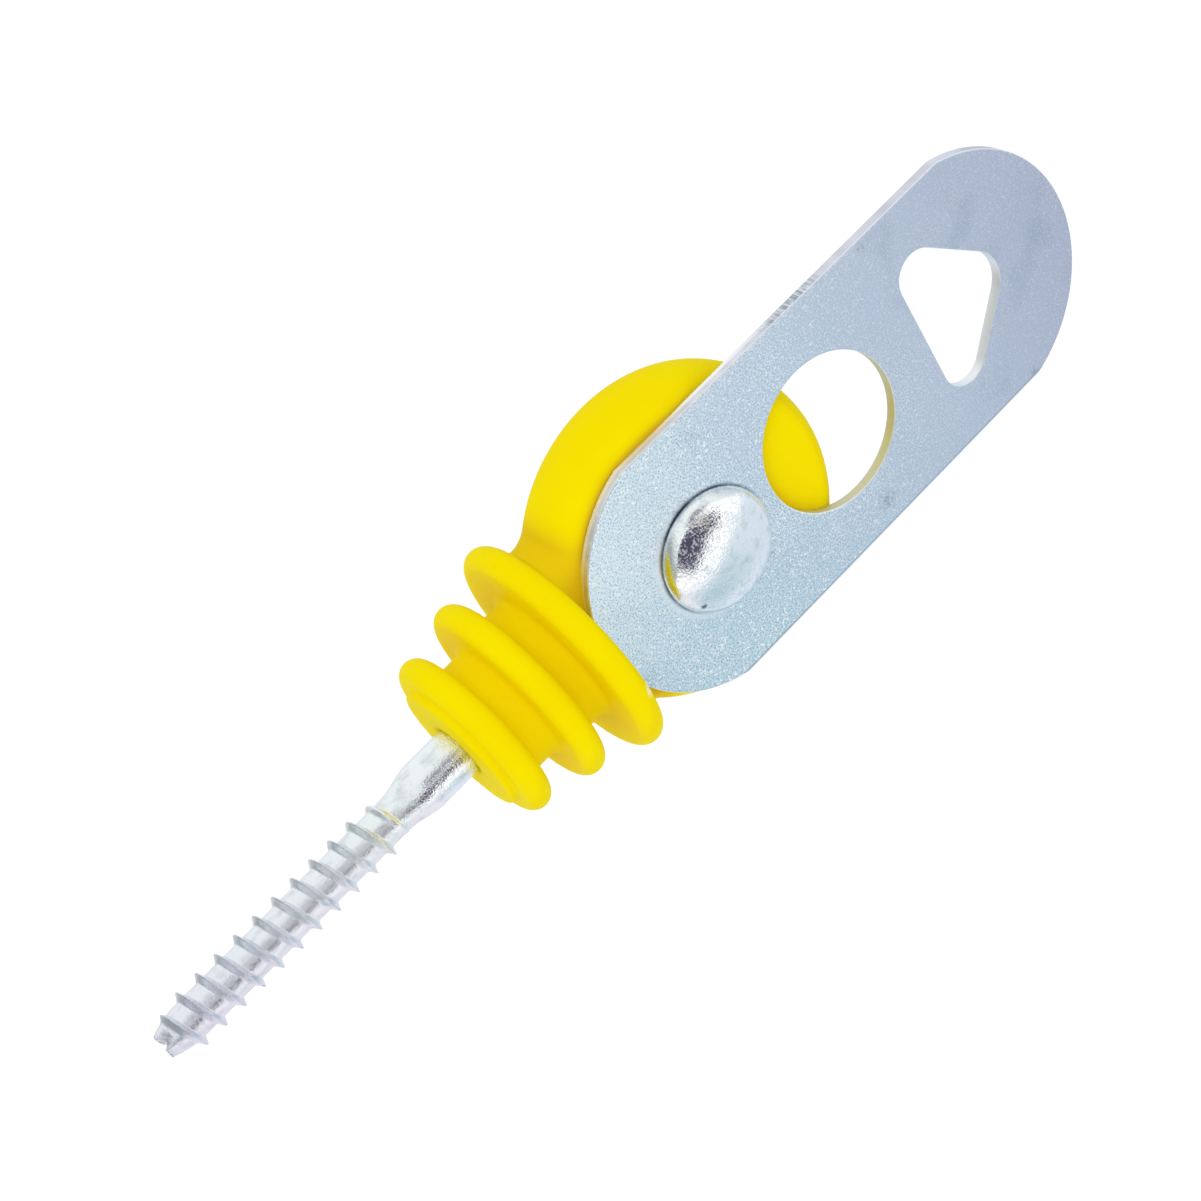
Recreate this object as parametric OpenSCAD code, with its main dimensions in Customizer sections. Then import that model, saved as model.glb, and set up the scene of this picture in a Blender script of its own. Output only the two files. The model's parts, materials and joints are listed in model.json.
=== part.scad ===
// Screw-in fence insulator with a swivelling hook plate, for hanging gate handles on a post.
//
// +X runs out of the post along the lag screw, -Y is the side of the plate and the bolt head,
// and +Z lies across the plate. The origin is on the screw's axis, in the face that meets the
// post. The plate, the bolt, the washer and the nut turn together about the bolt's axis.

/* [Insulator body] */
// Diameter of the seat that meets the post
seat_d = 17.5; // [16.5:0.1:20]
// Height of the seat under the lowest flange
seat_h = 0.9; // [0.8:0.1:3]
// Diameter of the trunk between the lowest and the middle flange
trunk_low_d = 16; // [15:0.1:18]
// Diameter of the trunk between the middle and the top flange
trunk_high_d = 17.8; // [16:0.1:20]
// Diameter of the lowest flange
flange_low_d = 23.4; // [22:0.1:26]
// Diameter of the middle flange
flange_mid_d = 26.6; // [25:0.1:30]
// Diameter of the top flange
flange_top_d = 31.2; // [29:0.1:34]
// Thickness of each flange, whose rim is fully rounded
flange_t = 3.6; // [3:0.1:4.2]
// Length of trunk between two flanges
flange_gap = 3.8; // [3:0.1:6]
// Radius of the fillets where the flanges meet the trunk
root_r = 0.8; // [0.3:0.1:1.2]
// Diameter of the round head
head_d = 41.6; // [40:0.1:46]
// Diameter of the head's flat faces
head_face_d = 34.8; // [30:0.1:38]
// Thickness of the head
head_t = 11.6; // [10.5:0.1:14]
// Width of the neck between the head and the top flange
neck_w = 26.2; // [24:0.1:26.6]
// Radius of the flare on both sides of the neck's foot
neck_r = 0.9; // [0.4:0.1:1]

/* [Hook plate] */
// Width of the plate
plate_w = 35; // [32:0.1:36]
// Thickness of the plate
plate_t = 1.5; // [1:0.1:2.5]
// Radius of the plate's rounded ends, a little over half its width
end_r = 18.1; // [18:0.1:20]
// Distance from the bolt to the centre of the far end's round
far_x = 44.5; // [42:0.1:60]
// Distance from the bolt to the centre of the round eye
eye_x = 20.2; // [19:0.1:22]
// Diameter of the round eye
eye_d = 20.2; // [16:0.1:22]
// Distance from the bolt to the straight side of the three-cornered eye
wedge_x = 37.3; // [35.5:0.1:38]
// Height of the three-cornered eye from its straight side to its sharp tip, before rounding
wedge_h = 15.2; // [13:0.1:17]
// Radius of its two corners beside the straight side
wedge_r = 3.4; // [2:0.1:4]
// Radius of its rounded tip
wedge_tip_r = 4.6; // [3:0.1:5]

/* [Bolt, washer and nut] */
// Diameter of the bolt
bolt_d = 6; // [5:0.1:8]
// Diameter of the bolt's mushroom head
bolt_head_d = 15.6; // [14:0.1:17]
// Height of the head's upright rim
bolt_rim_h = 0.4; // [0.3:0.1:1.2]
// Width of the round shoulder between the rim and the dome
bolt_shoulder_w = 1.1; // [0.6:0.1:2]
// Height of that shoulder
bolt_shoulder_h = 1.4; // [0.6:0.1:2]
// Height of the dome above the shoulder
bolt_dome_h = 1.8; // [1.2:0.1:3.4]
// Length of the square neck under the head
square_l = 4.2; // [3:0.1:6]
// Length of bolt that stands out of the nut
bolt_end_l = 3.8; // [1:0.1:8]
// Diameter of the washer
washer_d = 12; // [11.5:0.1:18]
// Thickness of the washer
washer_t = 1.6; // [1:0.1:3]
// Width across the flats of the lock nut
nut_af = 10; // [10:0.1:11.4]
// Height of the lock nut, with its collar
nut_h = 6; // [5.5:0.1:8]
// Height of the nylon ring held in the nut's collar
ring_h = 1.7; // [1.2:0.1:2]

/* [Lag screw] */
// Diameter of the plain shank
shank_d = 6.5; // [6.4:0.1:7.5]
// Length of plain shank outside the insulator
shank_l = 5.6; // [4:0.1:12]
// Length over which the shank narrows to the thread's core
taper_l = 4.9; // [3:0.1:8]
// Outer diameter of the thread
thread_d = 6.8; // [6:0.1:7.2]
// Core diameter of the thread
core_d = 4.9; // [4.2:0.1:5.2]
// Pitch of the thread
thread_pitch = 3; // [2.5:0.1:3.5]
// Length of the threaded part, down to the blunt tip
thread_l = 36.8; // [24:0.1:60]
// Length of the tapered point
point_l = 3.6; // [2:0.1:6]
// Diameter of the blunt tip
tip_d = 3.2; // [2:0.1:3.6]
// Depth of screw moulded into the insulator
embed_l = 20; // [16:0.1:26]
// Step from the plain shank down to the part moulded in
shoulder = 0.2; // [0.1:0.1:0.6]
// Width across the flats of the screw's hexagon head, inside the insulator
anchor_af = 10; // [9:0.1:12]
// Height of the hexagon head
anchor_t = 4; // [3:0.1:6]

/* [Fits] */
// Gap between the plate or the washer and the insulator's faces
face_gap = 0.05; // [0.02:0.01:0.2]
// Gap between the plate's end and the top flange as the plate swings
swing_gap = 0.2; // [0.1:0.05:1]
// Radial clearance of the bolt in the insulator, a running fit
bolt_play = 0.05; // [0.02:0.01:0.1]
// Clearance on each side of the square neck in the plate
square_play = 0.1; // [0.05:0.01:0.3]
// Radial clearance of the square neck's corners in the insulator
corner_play = 0.3; // [0.2:0.05:0.6]
// Radial clearance between the bolt and the washer
washer_play = 0.2; // [0.1:0.05:0.5]
// Radial clearance between the bolt and the nut, whose threads are plain here
thread_play = 0.02; // [0.01:0.01:0.05]
// Width and depth of the relief round the shank in the seat
seat_relief = 0.3; // [0.1:0.1:0.6]

/* [Hidden] */

// Fineness of round walls, of small rounds, of the elliptical rim, of the eye's corners, and of
// the shoulder of the bolt's head
ROUND = 96;
SMALL = 48;
RIM_STEPS = 12;
ARC_STEPS = 12;
SHOULDER_STEPS = 8;
// Steps in the neck's flare, and thickness of the slices that its hulls join
FLARE_STEPS = 3;
SLICE = 0.02;
// Overlap that fuses two shapes of one piece, and overshoot of a cut past a face
FUSE = 0.5;
PAST = 1;

// Stations along the insulator, from the post face outwards
step_l = flange_t + flange_gap;
body_top = seat_h + 3 * flange_t + 2 * flange_gap;
bolt_x = body_top + swing_gap + end_r;

// Stations across the insulator, from the front of the stack to the back
plate_back = -(head_t / 2 + face_gap);
plate_front = plate_back - plate_t;
washer_front = head_t / 2 + face_gap;
nut_front = washer_front + washer_t;
nut_back = nut_front + nut_h;
bolt_l = nut_back + bolt_end_l - plate_front;

// Bolt and nut details that follow from the sizes above
bolt_r = bolt_d / 2;
square_w = bolt_d;
dome_edge_r = bolt_head_d / 2 - bolt_shoulder_w;
dome_r = (pow(dome_edge_r, 2) + pow(bolt_dome_h, 2)) / (2 * bolt_dome_h);
dome_slope = dome_edge_r / (dome_r - bolt_dome_h);
bolt_chamfer = bolt_d / 10;
corner_r = square_w / sqrt(2) + corner_play;
corner_depth = max(square_l - plate_t - face_gap + corner_play, corner_play);
nut_corner_r = nut_af / sqrt(3);
nut_hole_r = bolt_r + thread_play;
collar_step = 0.5;
collar_wall = 0.6;
collar_r = nut_af / 2 - collar_step;
nut_hex_h = nut_h - ring_h;
lip_h = 0.3;
chamfer_angle = 30;

// Lag screw stations, which run towards the tip along -X, and thread form
thread_start = shank_l + taper_l;
core_r = core_d / 2;
thread_h = (thread_d - core_d) / 2;
throat_step = 0.05;
throat_r = core_r + throat_step;
embed_r = shank_d / 2 - shoulder;
rings_per_turn = 16;
ring_count = ceil(thread_l / thread_pitch * rings_per_turn);
fade_in = 1.2 * thread_pitch;
fade_out = 0.8 * point_l;
point_curve = 1.5;
taper_steps = 10;

// The cam is the section of one turn: [part of a turn, height of the thread there from 0 to 1].
// A flat crest of twice crest_half falls to the root, which is round the rest of the turn.
crest_half = 0.035;
root_half = 0.17;
root_steps = 6;
CAM = concat([[0, 1], [crest_half, 1]],
             [for (i = [0:root_steps]) [root_half + (1 - 2 * root_half) * i / root_steps, 0]],
             [[1 - crest_half, 1]]);
// Part of a turn by which the first crest is turned
first_crest_turn = 0.67;

// Stands a shape drawn along Z along +X, with its own X turned to -Z
module along_x() {
  rotate([0, 90, 0]) children();
}

// Stands a shape drawn along Z along -Y, at the bolt's axis, with its own Y turned to +Z
module on_bolt(y) {
  translate([bolt_x, y, 0]) rotate([90, 0, 0]) children();
}

// Half section of a disc with a fully rounded rim, its lower face on the X axis
module rim_section(d, t) {
  square([(d - t) / 2, t]);
  translate([(d - t) / 2, t / 2]) circle(d = t, $fn = SMALL);
}

// Fillet in the corner between a wall at x = 0 and a face at y = 0
module fillet_section(r) {
  difference() {
    square(r);
    translate([r, r]) circle(r = r, $fn = SMALL);
  }
}

// Half section of a stretch of trunk between two flanges, with a fillet at each end
module trunk_section(d) {
  translate([0, -FUSE]) square([d / 2, flange_gap + 2 * FUSE]);
  translate([d / 2, 0]) fillet_section(root_r);
  translate([d / 2, flange_gap]) mirror([0, 1]) fillet_section(root_r);
}

// Seat, three flanges and two stretches of trunk, turned about the screw's axis
module ribbed_trunk() {
  along_x() rotate_extrude($fn = ROUND) {
    square([seat_d / 2, seat_h + FUSE]);
    translate([0, seat_h]) rim_section(flange_low_d, flange_t);
    translate([0, seat_h + flange_t]) trunk_section(trunk_low_d);
    translate([0, seat_h + step_l]) rim_section(flange_mid_d, flange_t);
    translate([0, seat_h + step_l + flange_t]) trunk_section(trunk_high_d);
    translate([0, seat_h + 2 * step_l]) rim_section(flange_top_d, flange_t);
  }
}

// Half of the head's elliptical rim, as [distance from the flat's edge, height]
function rim_arc(w) =
  [for (i = [0:RIM_STEPS]) let (a = 180 * i / RIM_STEPS - 90) [w * cos(a), head_t / 2 * sin(a)]];

// Round head, turned about the bolt's axis: two flat faces and an elliptical rim
module round_head() {
  rim = [for (p = rim_arc((head_d - head_face_d) / 2)) [head_face_d / 2 + p[0], p[1]]];
  on_bolt(0) rotate_extrude($fn = ROUND)
    polygon(concat([[0, -head_t / 2]], rim, [[0, head_t / 2]]));
}

// Section of the neck across the screw's axis, with the head's elliptical rim on both sides
module neck_section(flare) {
  flat_half = (neck_w - head_d + head_face_d) / 2;
  side = [for (p = rim_arc((head_d - head_face_d) / 2)) [flat_half + flare + p[0], p[1]]];
  other_side = [for (i = [RIM_STEPS:-1:0]) [-side[i][0], side[i][1]]];
  polygon(concat(side, other_side));
}

// Neck that carries the head on the top flange, its sides flared to meet the flange
module neck() {
  translate([body_top - FUSE, 0, 0]) along_x() linear_extrude(bolt_x - body_top + FUSE) neck_section(0);
  for (i = [0:FLARE_STEPS - 1]) hull() for (j = [i, i + 1]) {
    a = 90 * j / FLARE_STEPS;
    translate([body_top + neck_r * (1 - cos(a)), 0, 0]) along_x()
      linear_extrude(SLICE) neck_section(neck_r * (1 - sin(a)));
  }
}

// The part of the lag screw that is moulded into the body
module moulded_in_screw() {
  along_x() {
    translate([0, 0, -FUSE]) cylinder(r = embed_r, h = embed_l + FUSE, $fn = ROUND);
    translate([0, 0, embed_l - anchor_t]) cylinder(d = anchor_af / cos(30), h = anchor_t, $fn = 6);
  }
}

module insulator_body() {
  color("gold") difference() {
    union() {
      ribbed_trunk();
      round_head();
      neck();
    }
    moulded_in_screw();
    translate([-PAST, 0, 0]) along_x()
      cylinder(r = shank_d / 2 + seat_relief, h = PAST + seat_relief, $fn = ROUND);
    on_bolt(head_t / 2 + PAST) cylinder(r = bolt_r + bolt_play, h = head_t + 2 * PAST, $fn = ROUND);
    on_bolt(-head_t / 2 + corner_depth) cylinder(r = corner_r, h = corner_depth + PAST, $fn = ROUND);
  }
}

// Radius of the thread's core a given way down from the start: full, then narrowing to the tip
function core_at(l) =
  let (past = max(0, l - (thread_l - point_l)) / point_l)
  core_r + (tip_d / 2 - core_r) * pow(past, point_curve);

// Height of the thread there: it rises out of the core at the start and sinks into the point
function ridge_at(l) = thread_h * min(1, l / fade_in) * min(1, max(0, (thread_l - l) / fade_out));

// Threaded part: sections of one cam, each turned a little further than the last
module lag_thread() {
  n = len(CAM);
  stations = [for (i = [0:ring_count]) thread_l * i / ring_count];
  points = [for (l = stations) for (c = CAM)
    let (a = 360 * (c[0] + first_crest_turn - l / thread_pitch), r = core_at(l) + ridge_at(l) * c[1])
    [-thread_start - l, r * cos(a), r * sin(a)]];
  sides = [for (i = [0:ring_count - 1]) for (j = [0:n - 1])
    let (k = (j + 1) % n, p = i * n)
    each [[p + j, p + k, p + n + j], [p + k, p + n + k, p + n + j]]];
  start = [for (j = [n - 1:-1:0]) j];
  end = [for (j = [0:n - 1]) ring_count * n + j];
  polyhedron(points = points, faces = concat([start], sides, [end]));
}

// Plain shank outside the body, and the taper down to the thread
module bare_shank() {
  drop = shank_d / 2 - throat_r;
  taper = [for (i = [0:taper_steps]) let (t = i / taper_steps)
    [throat_r + drop * (1 + cos(180 * t)) / 2, -shank_l - taper_l * t]];
  along_x() rotate_extrude($fn = ROUND)
    polygon(concat([[0, 0], [shank_d / 2, 0]], taper, [[0, -shank_l - taper_l]]));
}

module lag_screw() {
  color("silver") {
    moulded_in_screw();
    bare_shank();
    lag_thread();
  }
}

// Outline of the plate, with the bolt at its origin: straight sides and two rounded ends
module plate_outline() {
  intersection() {
    translate([-2 * end_r, -plate_w / 2]) square([far_x + 4 * end_r, plate_w]);
    union() {
      circle(r = end_r, $fn = ROUND);
      translate([0, -end_r - PAST]) square([far_x, 2 * (end_r + PAST)]);
      translate([far_x, 0]) circle(r = end_r, $fn = ROUND);
    }
  }
}

// Points on an arc about a centre, from one direction round to another
function arc(centre, r, from, to) =
  [for (i = [0:ARC_STEPS]) let (a = from + (to - from) * i / ARC_STEPS) centre + r * [cos(a), sin(a)]];

// Three-cornered eye: a right-angled tip points away from the bolt, and all corners are round
module wedge_eye() {
  corner = [wedge_x + wedge_r, wedge_h - wedge_r * (1 + sqrt(2))];
  tip = [wedge_x + wedge_h - wedge_tip_r * sqrt(2), 0];
  polygon(concat(arc([corner[0], -corner[1]], wedge_r, 180, 315), arc(tip, wedge_tip_r, -45, 45),
                 arc(corner, wedge_r, 45, 180)));
}

module hook_plate() {
  hole_w = square_w + 2 * square_play;
  color("lightsteelblue") on_bolt(plate_back) linear_extrude(plate_t) difference() {
    plate_outline();
    square(hole_w, center = true);
    translate([eye_x, 0]) circle(d = eye_d, $fn = ROUND);
    wedge_eye();
  }
}

// Mushroom head: a low upright rim, a round shoulder, and a dome that is part of a ball
module bolt_head() {
  top = bolt_rim_h + bolt_shoulder_h;
  bend = max(bolt_rim_h, top - dome_slope * bolt_shoulder_w);
  shoulder_curve = [for (i = [0:SHOULDER_STEPS]) let (t = i / SHOULDER_STEPS)
    [dome_edge_r + bolt_shoulder_w * t * (2 - t),
     pow(1 - t, 2) * top + 2 * t * (1 - t) * bend + t * t * bolt_rim_h]];
  rotate_extrude($fn = ROUND) {
    polygon(concat([[0, top]], shoulder_curve, [[bolt_head_d / 2, 0], [0, 0]]));
    translate([0, top]) intersection() {
      square([dome_edge_r, bolt_dome_h]);
      translate([0, bolt_dome_h - dome_r]) circle(r = dome_r, $fn = ROUND);
    }
  }
}

module carriage_bolt() {
  color("gainsboro") on_bolt(plate_front) {
    bolt_head();
    translate([-square_w / 2, -square_w / 2, -square_l]) cube([square_w, square_w, square_l + FUSE]);
    mirror([0, 0, 1]) cylinder(r = bolt_r, h = bolt_l - bolt_chamfer, $fn = ROUND);
    translate([0, 0, -bolt_l])
      cylinder(r1 = bolt_r - bolt_chamfer, r2 = bolt_r, h = bolt_chamfer, $fn = ROUND);
  }
}

module washer() {
  color("silver") on_bolt(nut_front) difference() {
    cylinder(d = washer_d, h = washer_t, $fn = ROUND);
    translate([0, 0, -PAST]) cylinder(r = bolt_r + washer_play, h = washer_t + 2 * PAST, $fn = ROUND);
  }
}

// Hexagon with both ends chamfered by a cone, and a round collar that holds the nylon ring
module lock_nut() {
  bevel = (nut_corner_r - nut_af / 2) * tan(chamfer_angle);
  color("silver") on_bolt(nut_back) difference() {
    union() {
      translate([0, 0, ring_h]) intersection() {
        cylinder(r = nut_corner_r, h = nut_hex_h, $fn = 6);
        rotate_extrude($fn = ROUND)
          polygon([[0, 0], [nut_af / 2, 0], [nut_corner_r, bevel], [nut_corner_r, nut_hex_h - bevel],
                   [nut_af / 2, nut_hex_h], [0, nut_hex_h]]);
      }
      cylinder(r = collar_r, h = ring_h + FUSE, $fn = ROUND);
    }
    translate([0, 0, -PAST]) cylinder(r = nut_hole_r, h = nut_h + 2 * PAST, $fn = ROUND);
    translate([0, 0, lip_h]) cylinder(r = collar_r - collar_wall, h = ring_h - lip_h, $fn = ROUND);
    translate([0, 0, -PAST]) cylinder(r = collar_r - 2 * collar_wall, h = lip_h + 2 * PAST, $fn = ROUND);
  }
}

module nut_ring() {
  color("royalblue") on_bolt(nut_back - lip_h) difference() {
    cylinder(r = collar_r - collar_wall, h = ring_h - lip_h, $fn = ROUND);
    translate([0, 0, -PAST]) cylinder(r = nut_hole_r, h = ring_h + 2 * PAST, $fn = ROUND);
  }
}

insulator_body();
lag_screw();
hook_plate();
carriage_bolt();
washer();
lock_nut();
nut_ring();
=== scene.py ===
"""Looks of the screw-in fence insulator: moulded body, lag screw, hook plate and fasteners.

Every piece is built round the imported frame, in metres, with its place in its mesh. The script is
laid out as an add-on: settings, one operator for each piece and for the stage, and a panel.
"""

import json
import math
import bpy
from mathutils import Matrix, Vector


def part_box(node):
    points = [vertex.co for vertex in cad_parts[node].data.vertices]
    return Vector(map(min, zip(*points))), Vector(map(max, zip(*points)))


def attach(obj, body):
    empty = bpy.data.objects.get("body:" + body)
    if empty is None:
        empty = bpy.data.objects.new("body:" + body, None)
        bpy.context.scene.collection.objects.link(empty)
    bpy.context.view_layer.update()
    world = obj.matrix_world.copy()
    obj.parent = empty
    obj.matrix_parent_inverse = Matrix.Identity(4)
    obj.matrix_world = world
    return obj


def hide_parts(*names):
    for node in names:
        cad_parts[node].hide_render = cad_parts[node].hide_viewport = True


bl_info = {
    "name": "Fence insulator looks",
    "version": (1, 0, 0),
    "blender": (4, 5, 0),
    "location": "3D View > Sidebar > Insulator",
    "description": "Builds the moulded body, lag screw, hook plate and fasteners round their frame",
    "category": "Object",
}

import bmesh
import bpy
import numpy as np
from bpy.props import FloatProperty, FloatVectorProperty, PointerProperty
from bpy.types import Operator, Panel, PropertyGroup
from mathutils import Matrix, Vector
from mathutils.geometry import tessellate_polygon

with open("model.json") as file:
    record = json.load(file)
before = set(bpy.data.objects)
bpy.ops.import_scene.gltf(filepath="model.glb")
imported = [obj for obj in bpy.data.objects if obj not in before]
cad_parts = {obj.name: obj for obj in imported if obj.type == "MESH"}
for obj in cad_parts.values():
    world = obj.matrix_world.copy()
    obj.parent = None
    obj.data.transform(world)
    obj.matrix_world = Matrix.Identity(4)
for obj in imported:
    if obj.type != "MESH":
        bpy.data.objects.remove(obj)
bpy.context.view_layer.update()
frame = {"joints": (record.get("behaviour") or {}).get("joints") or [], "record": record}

MM = 0.001

# Boxes of the frame's nodes, which give the places of the pieces
BODY_LOW, BODY_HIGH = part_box("insulator_body")
PLATE_LOW, PLATE_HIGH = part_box("hook_plate")
BOLT_LOW, BOLT_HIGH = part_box("carriage_bolt")
WASHER_LOW, WASHER_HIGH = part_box("washer")
NUT_LOW, NUT_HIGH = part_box("lock_nut")
RING_LOW, RING_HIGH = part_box("nut_ring")
SCREW_LOW, SCREW_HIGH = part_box("lag_screw")
SWIVEL = Vector(frame["joints"][0]["pos_m"])
MOUNTS = {mount["name"]: Vector(mount["pos_m"]) for mount in frame["record"]["mounts"]}
# Running gap between the plate and the body's head
FACE_GAP = 0.05 * MM
# The floor's depth in millimetres, with room under the plate where the plate hangs straight down
FLOOR_ROOM = 3.4
FLOOR_DEPTH = (PLATE_HIGH.x - SWIVEL.x) / MM + FLOOR_ROOM

# A turned piece is drawn along Z. These stand it along the screw's axis or the bolt's axis.
ALONG_SCREW = Matrix(((0, 0, 1, 0), (1, 0, 0, 0), (0, 1, 0, 0), (0, 0, 0, 1)))
ALONG_BOLT = Matrix.Translation(SWIVEL) @ Matrix(((0, 1, 0, 0), (0, 0, 1, 0), (1, 0, 0, 0), (0, 0, 0, 1)))


# ---------------------------------------------------------------------------------------------
# Settings
# ---------------------------------------------------------------------------------------------


def length(name, description, millimetres):
    """A length that the user can change, given in millimetres and kept in metres."""
    return FloatProperty(
        name=name, description=description, default=millimetres * MM, min=0.0, precision=5, unit="LENGTH"
    )


def share(name, description, value, top=1.0):
    """A plain number from 0 to top."""
    return FloatProperty(name=name, description=description, default=value, min=0.0, max=top)


def turn(name, description, degrees):
    """An angle, given in degrees and kept in radians."""
    return FloatProperty(name=name, description=description, default=math.radians(degrees), subtype="ANGLE")


def colour(name, description, rgb):
    """A linear colour."""
    return FloatVectorProperty(
        name=name, description=description, default=rgb, size=3, min=0.0, max=1.0, subtype="COLOR"
    )


class MouldingSettings(PropertyGroup):
    """Sizes of the moulded insulator body."""

    head_d: length("Head diameter", "Diameter of the round head over its rim", 41.6)
    face_d: length("Face diameter", "Diameter of the head's flat faces", 34.8)
    neck_w: length("Neck width", "Width of the neck under the head", 26.2)
    seat_d: length("Seat diameter", "Diameter of the seat that meets the post", 17.5)
    seat_h: length("Seat height", "Height of the seat under the lowest flange", 0.9)
    low_trunk_d: length("Lower trunk", "Diameter between the lowest and the middle flange", 16.0)
    high_trunk_d: length("Upper trunk", "Diameter between the middle and the top flange", 17.8)
    low_flange_d: length("Lowest flange", "Diameter of the lowest flange", 23.4)
    mid_flange_d: length("Middle flange", "Diameter of the middle flange", 26.6)
    top_flange_d: length("Top flange", "Diameter of the top flange", 31.2)
    flange_t: length("Flange thickness", "Thickness of each flange", 3.6)
    flange_gap: length("Flange gap", "Length of trunk between two flanges", 3.8)
    root_r: length("Root fillet", "Fillet where a flange meets the trunk", 0.9)
    neck_r: length("Neck fillet", "Fillet where the neck meets the head and the top flange", 1.0)
    seat_r: length("Seat fillet", "Fillet where the seat meets the lowest flange", 0.25)
    edge_r: length("Edge round", "Round on the edge of the seat", 0.35)
    seam_h: length("Seam height", "Height of the mould's parting line", 0.05)
    seam_w: length("Seam width", "Half width of the mould's parting line", 0.11)
    fin_t: length("Flash thickness", "Half thickness of the fins of flash on the parting line", 0.14)
    bolt_play: length("Bolt play", "Gap round the bolt in its bore", 0.05)
    corner_play: length("Corner play", "Gap round the corners of the bolt's square neck", 0.3)
    pocket_l: length("Pocket depth", "Depth of the pocket for the bolt's square neck", 3.0)
    spacing: length("Mesh spacing", "Size of the faces of the mesh", 0.35)


class LagScrewSettings(PropertyGroup):
    """Sizes of the lag screw."""

    shank_d: length("Shank diameter", "Diameter of the plain shank", 6.5)
    shank_l: length("Shank length", "Length of plain shank outside the body", 5.6)
    taper_l: length("Taper length", "Length over which the shank narrows", 4.9)
    thread_d: length("Thread diameter", "Diameter over the crests", 6.8)
    core_d: length("Core diameter", "Diameter of the core between the crests", 4.9)
    pitch: length("Pitch", "Distance between two crests", 3.0)
    point_l: length("Point length", "Length of the tapered point", 3.6)
    tip_d: length("Tip diameter", "Diameter of the blunt tip", 3.2)
    first_crest: share("First crest", "Part of a turn at which the first crest starts", 0.67)
    anchor_af: length("Anchor width", "Width across flats of the head inside the body", 10.0)
    anchor_t: length("Anchor height", "Height of the head inside the body", 4.0)
    inner_d: length("Inner diameter", "Diameter of the screw inside the body", 6.1)
    relief: length("Relief", "Width and depth of the relief round the shank in the seat", 0.3)
    break_l: length("Break length", "Length of the ragged tip", 1.6)
    break_h: length("Break depth", "Depth of the tip's notch and ragged places", 0.9)
    ring_step: length("Ring step", "Distance between two rings of the mesh", 0.075)


class HookPlateSettings(PropertyGroup):
    """Sizes of the hook plate, measured from the bolt."""

    end_r: length("End radius", "Radius of the rounded ends", 18.1)
    eye_x: length("Round eye place", "Distance from the bolt to the round eye's centre", 20.2)
    eye_d: length("Round eye", "Diameter of the round eye", 20.2)
    wedge_x: length("Three-cornered eye place", "Distance from the bolt to its straight side", 37.3)
    wedge_h: length("Three-cornered eye", "Height from the straight side to the sharp tip", 15.2)
    wedge_r: length("Corner radius", "Radius of the corners beside the straight side", 3.4)
    wedge_tip_r: length("Tip radius", "Radius of the rounded tip", 4.6)
    square_w: length("Square hole", "Width of the square hole under the bolt head", 6.2)
    roll_in: length("Roll-over width", "How far the sheared front edge rolls in from the side", 0.26)
    roll_down: length("Roll-over depth", "How far the sheared front edge rolls down", 0.13)
    burr_r: length("Back edge round", "Round on the back edge", 0.07)


class FastenerSettings(PropertyGroup):
    """Sizes of the carriage bolt, the washer and the lock nut."""

    bolt_d: length("Bolt diameter", "Diameter of the bolt over its thread", 6.0)
    thread_pitch: length("Bolt thread pitch", "Distance between two crests of the bolt's thread", 1.0)
    thread_h: length("Bolt thread height", "Height of the bolt's thread", 0.6)
    thread_l: length("Bolt thread length", "Length of the bolt's thread", 16.0)
    thread_end: length("Bolt thread end", "Length over which the thread rises at the bolt's end", 0.6)
    rim_h: length("Rim height", "Height of the bolt head's upright rim", 0.6)
    shoulder_w: length("Shoulder width", "Width of the round shoulder between the rim and the dome", 0.85)
    shoulder_h: length("Shoulder height", "Height of that shoulder", 1.15)
    undercut: length("Undercut", "Round under the bolt head's rim", 0.25)
    square_l: length("Square length", "Length of the square neck under the head", 4.2)
    nut_collar_d: length("Collar diameter", "Diameter of the nut's collar", 9.0)
    collar_wall: length("Collar wall", "Thickness of the collar's wall", 0.6)
    edge_r: length("Edge round", "Round on the edges of washer and nut", 0.12)
    washer_play: length("Washer play", "Gap between the washer and the bolt", 0.2)
    nut_play: length("Nut play", "Gap between the nut and the bolt", 0.02)
    ring_step: length("Ring step", "Distance between two rings of the bolt's mesh", 0.07)


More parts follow.
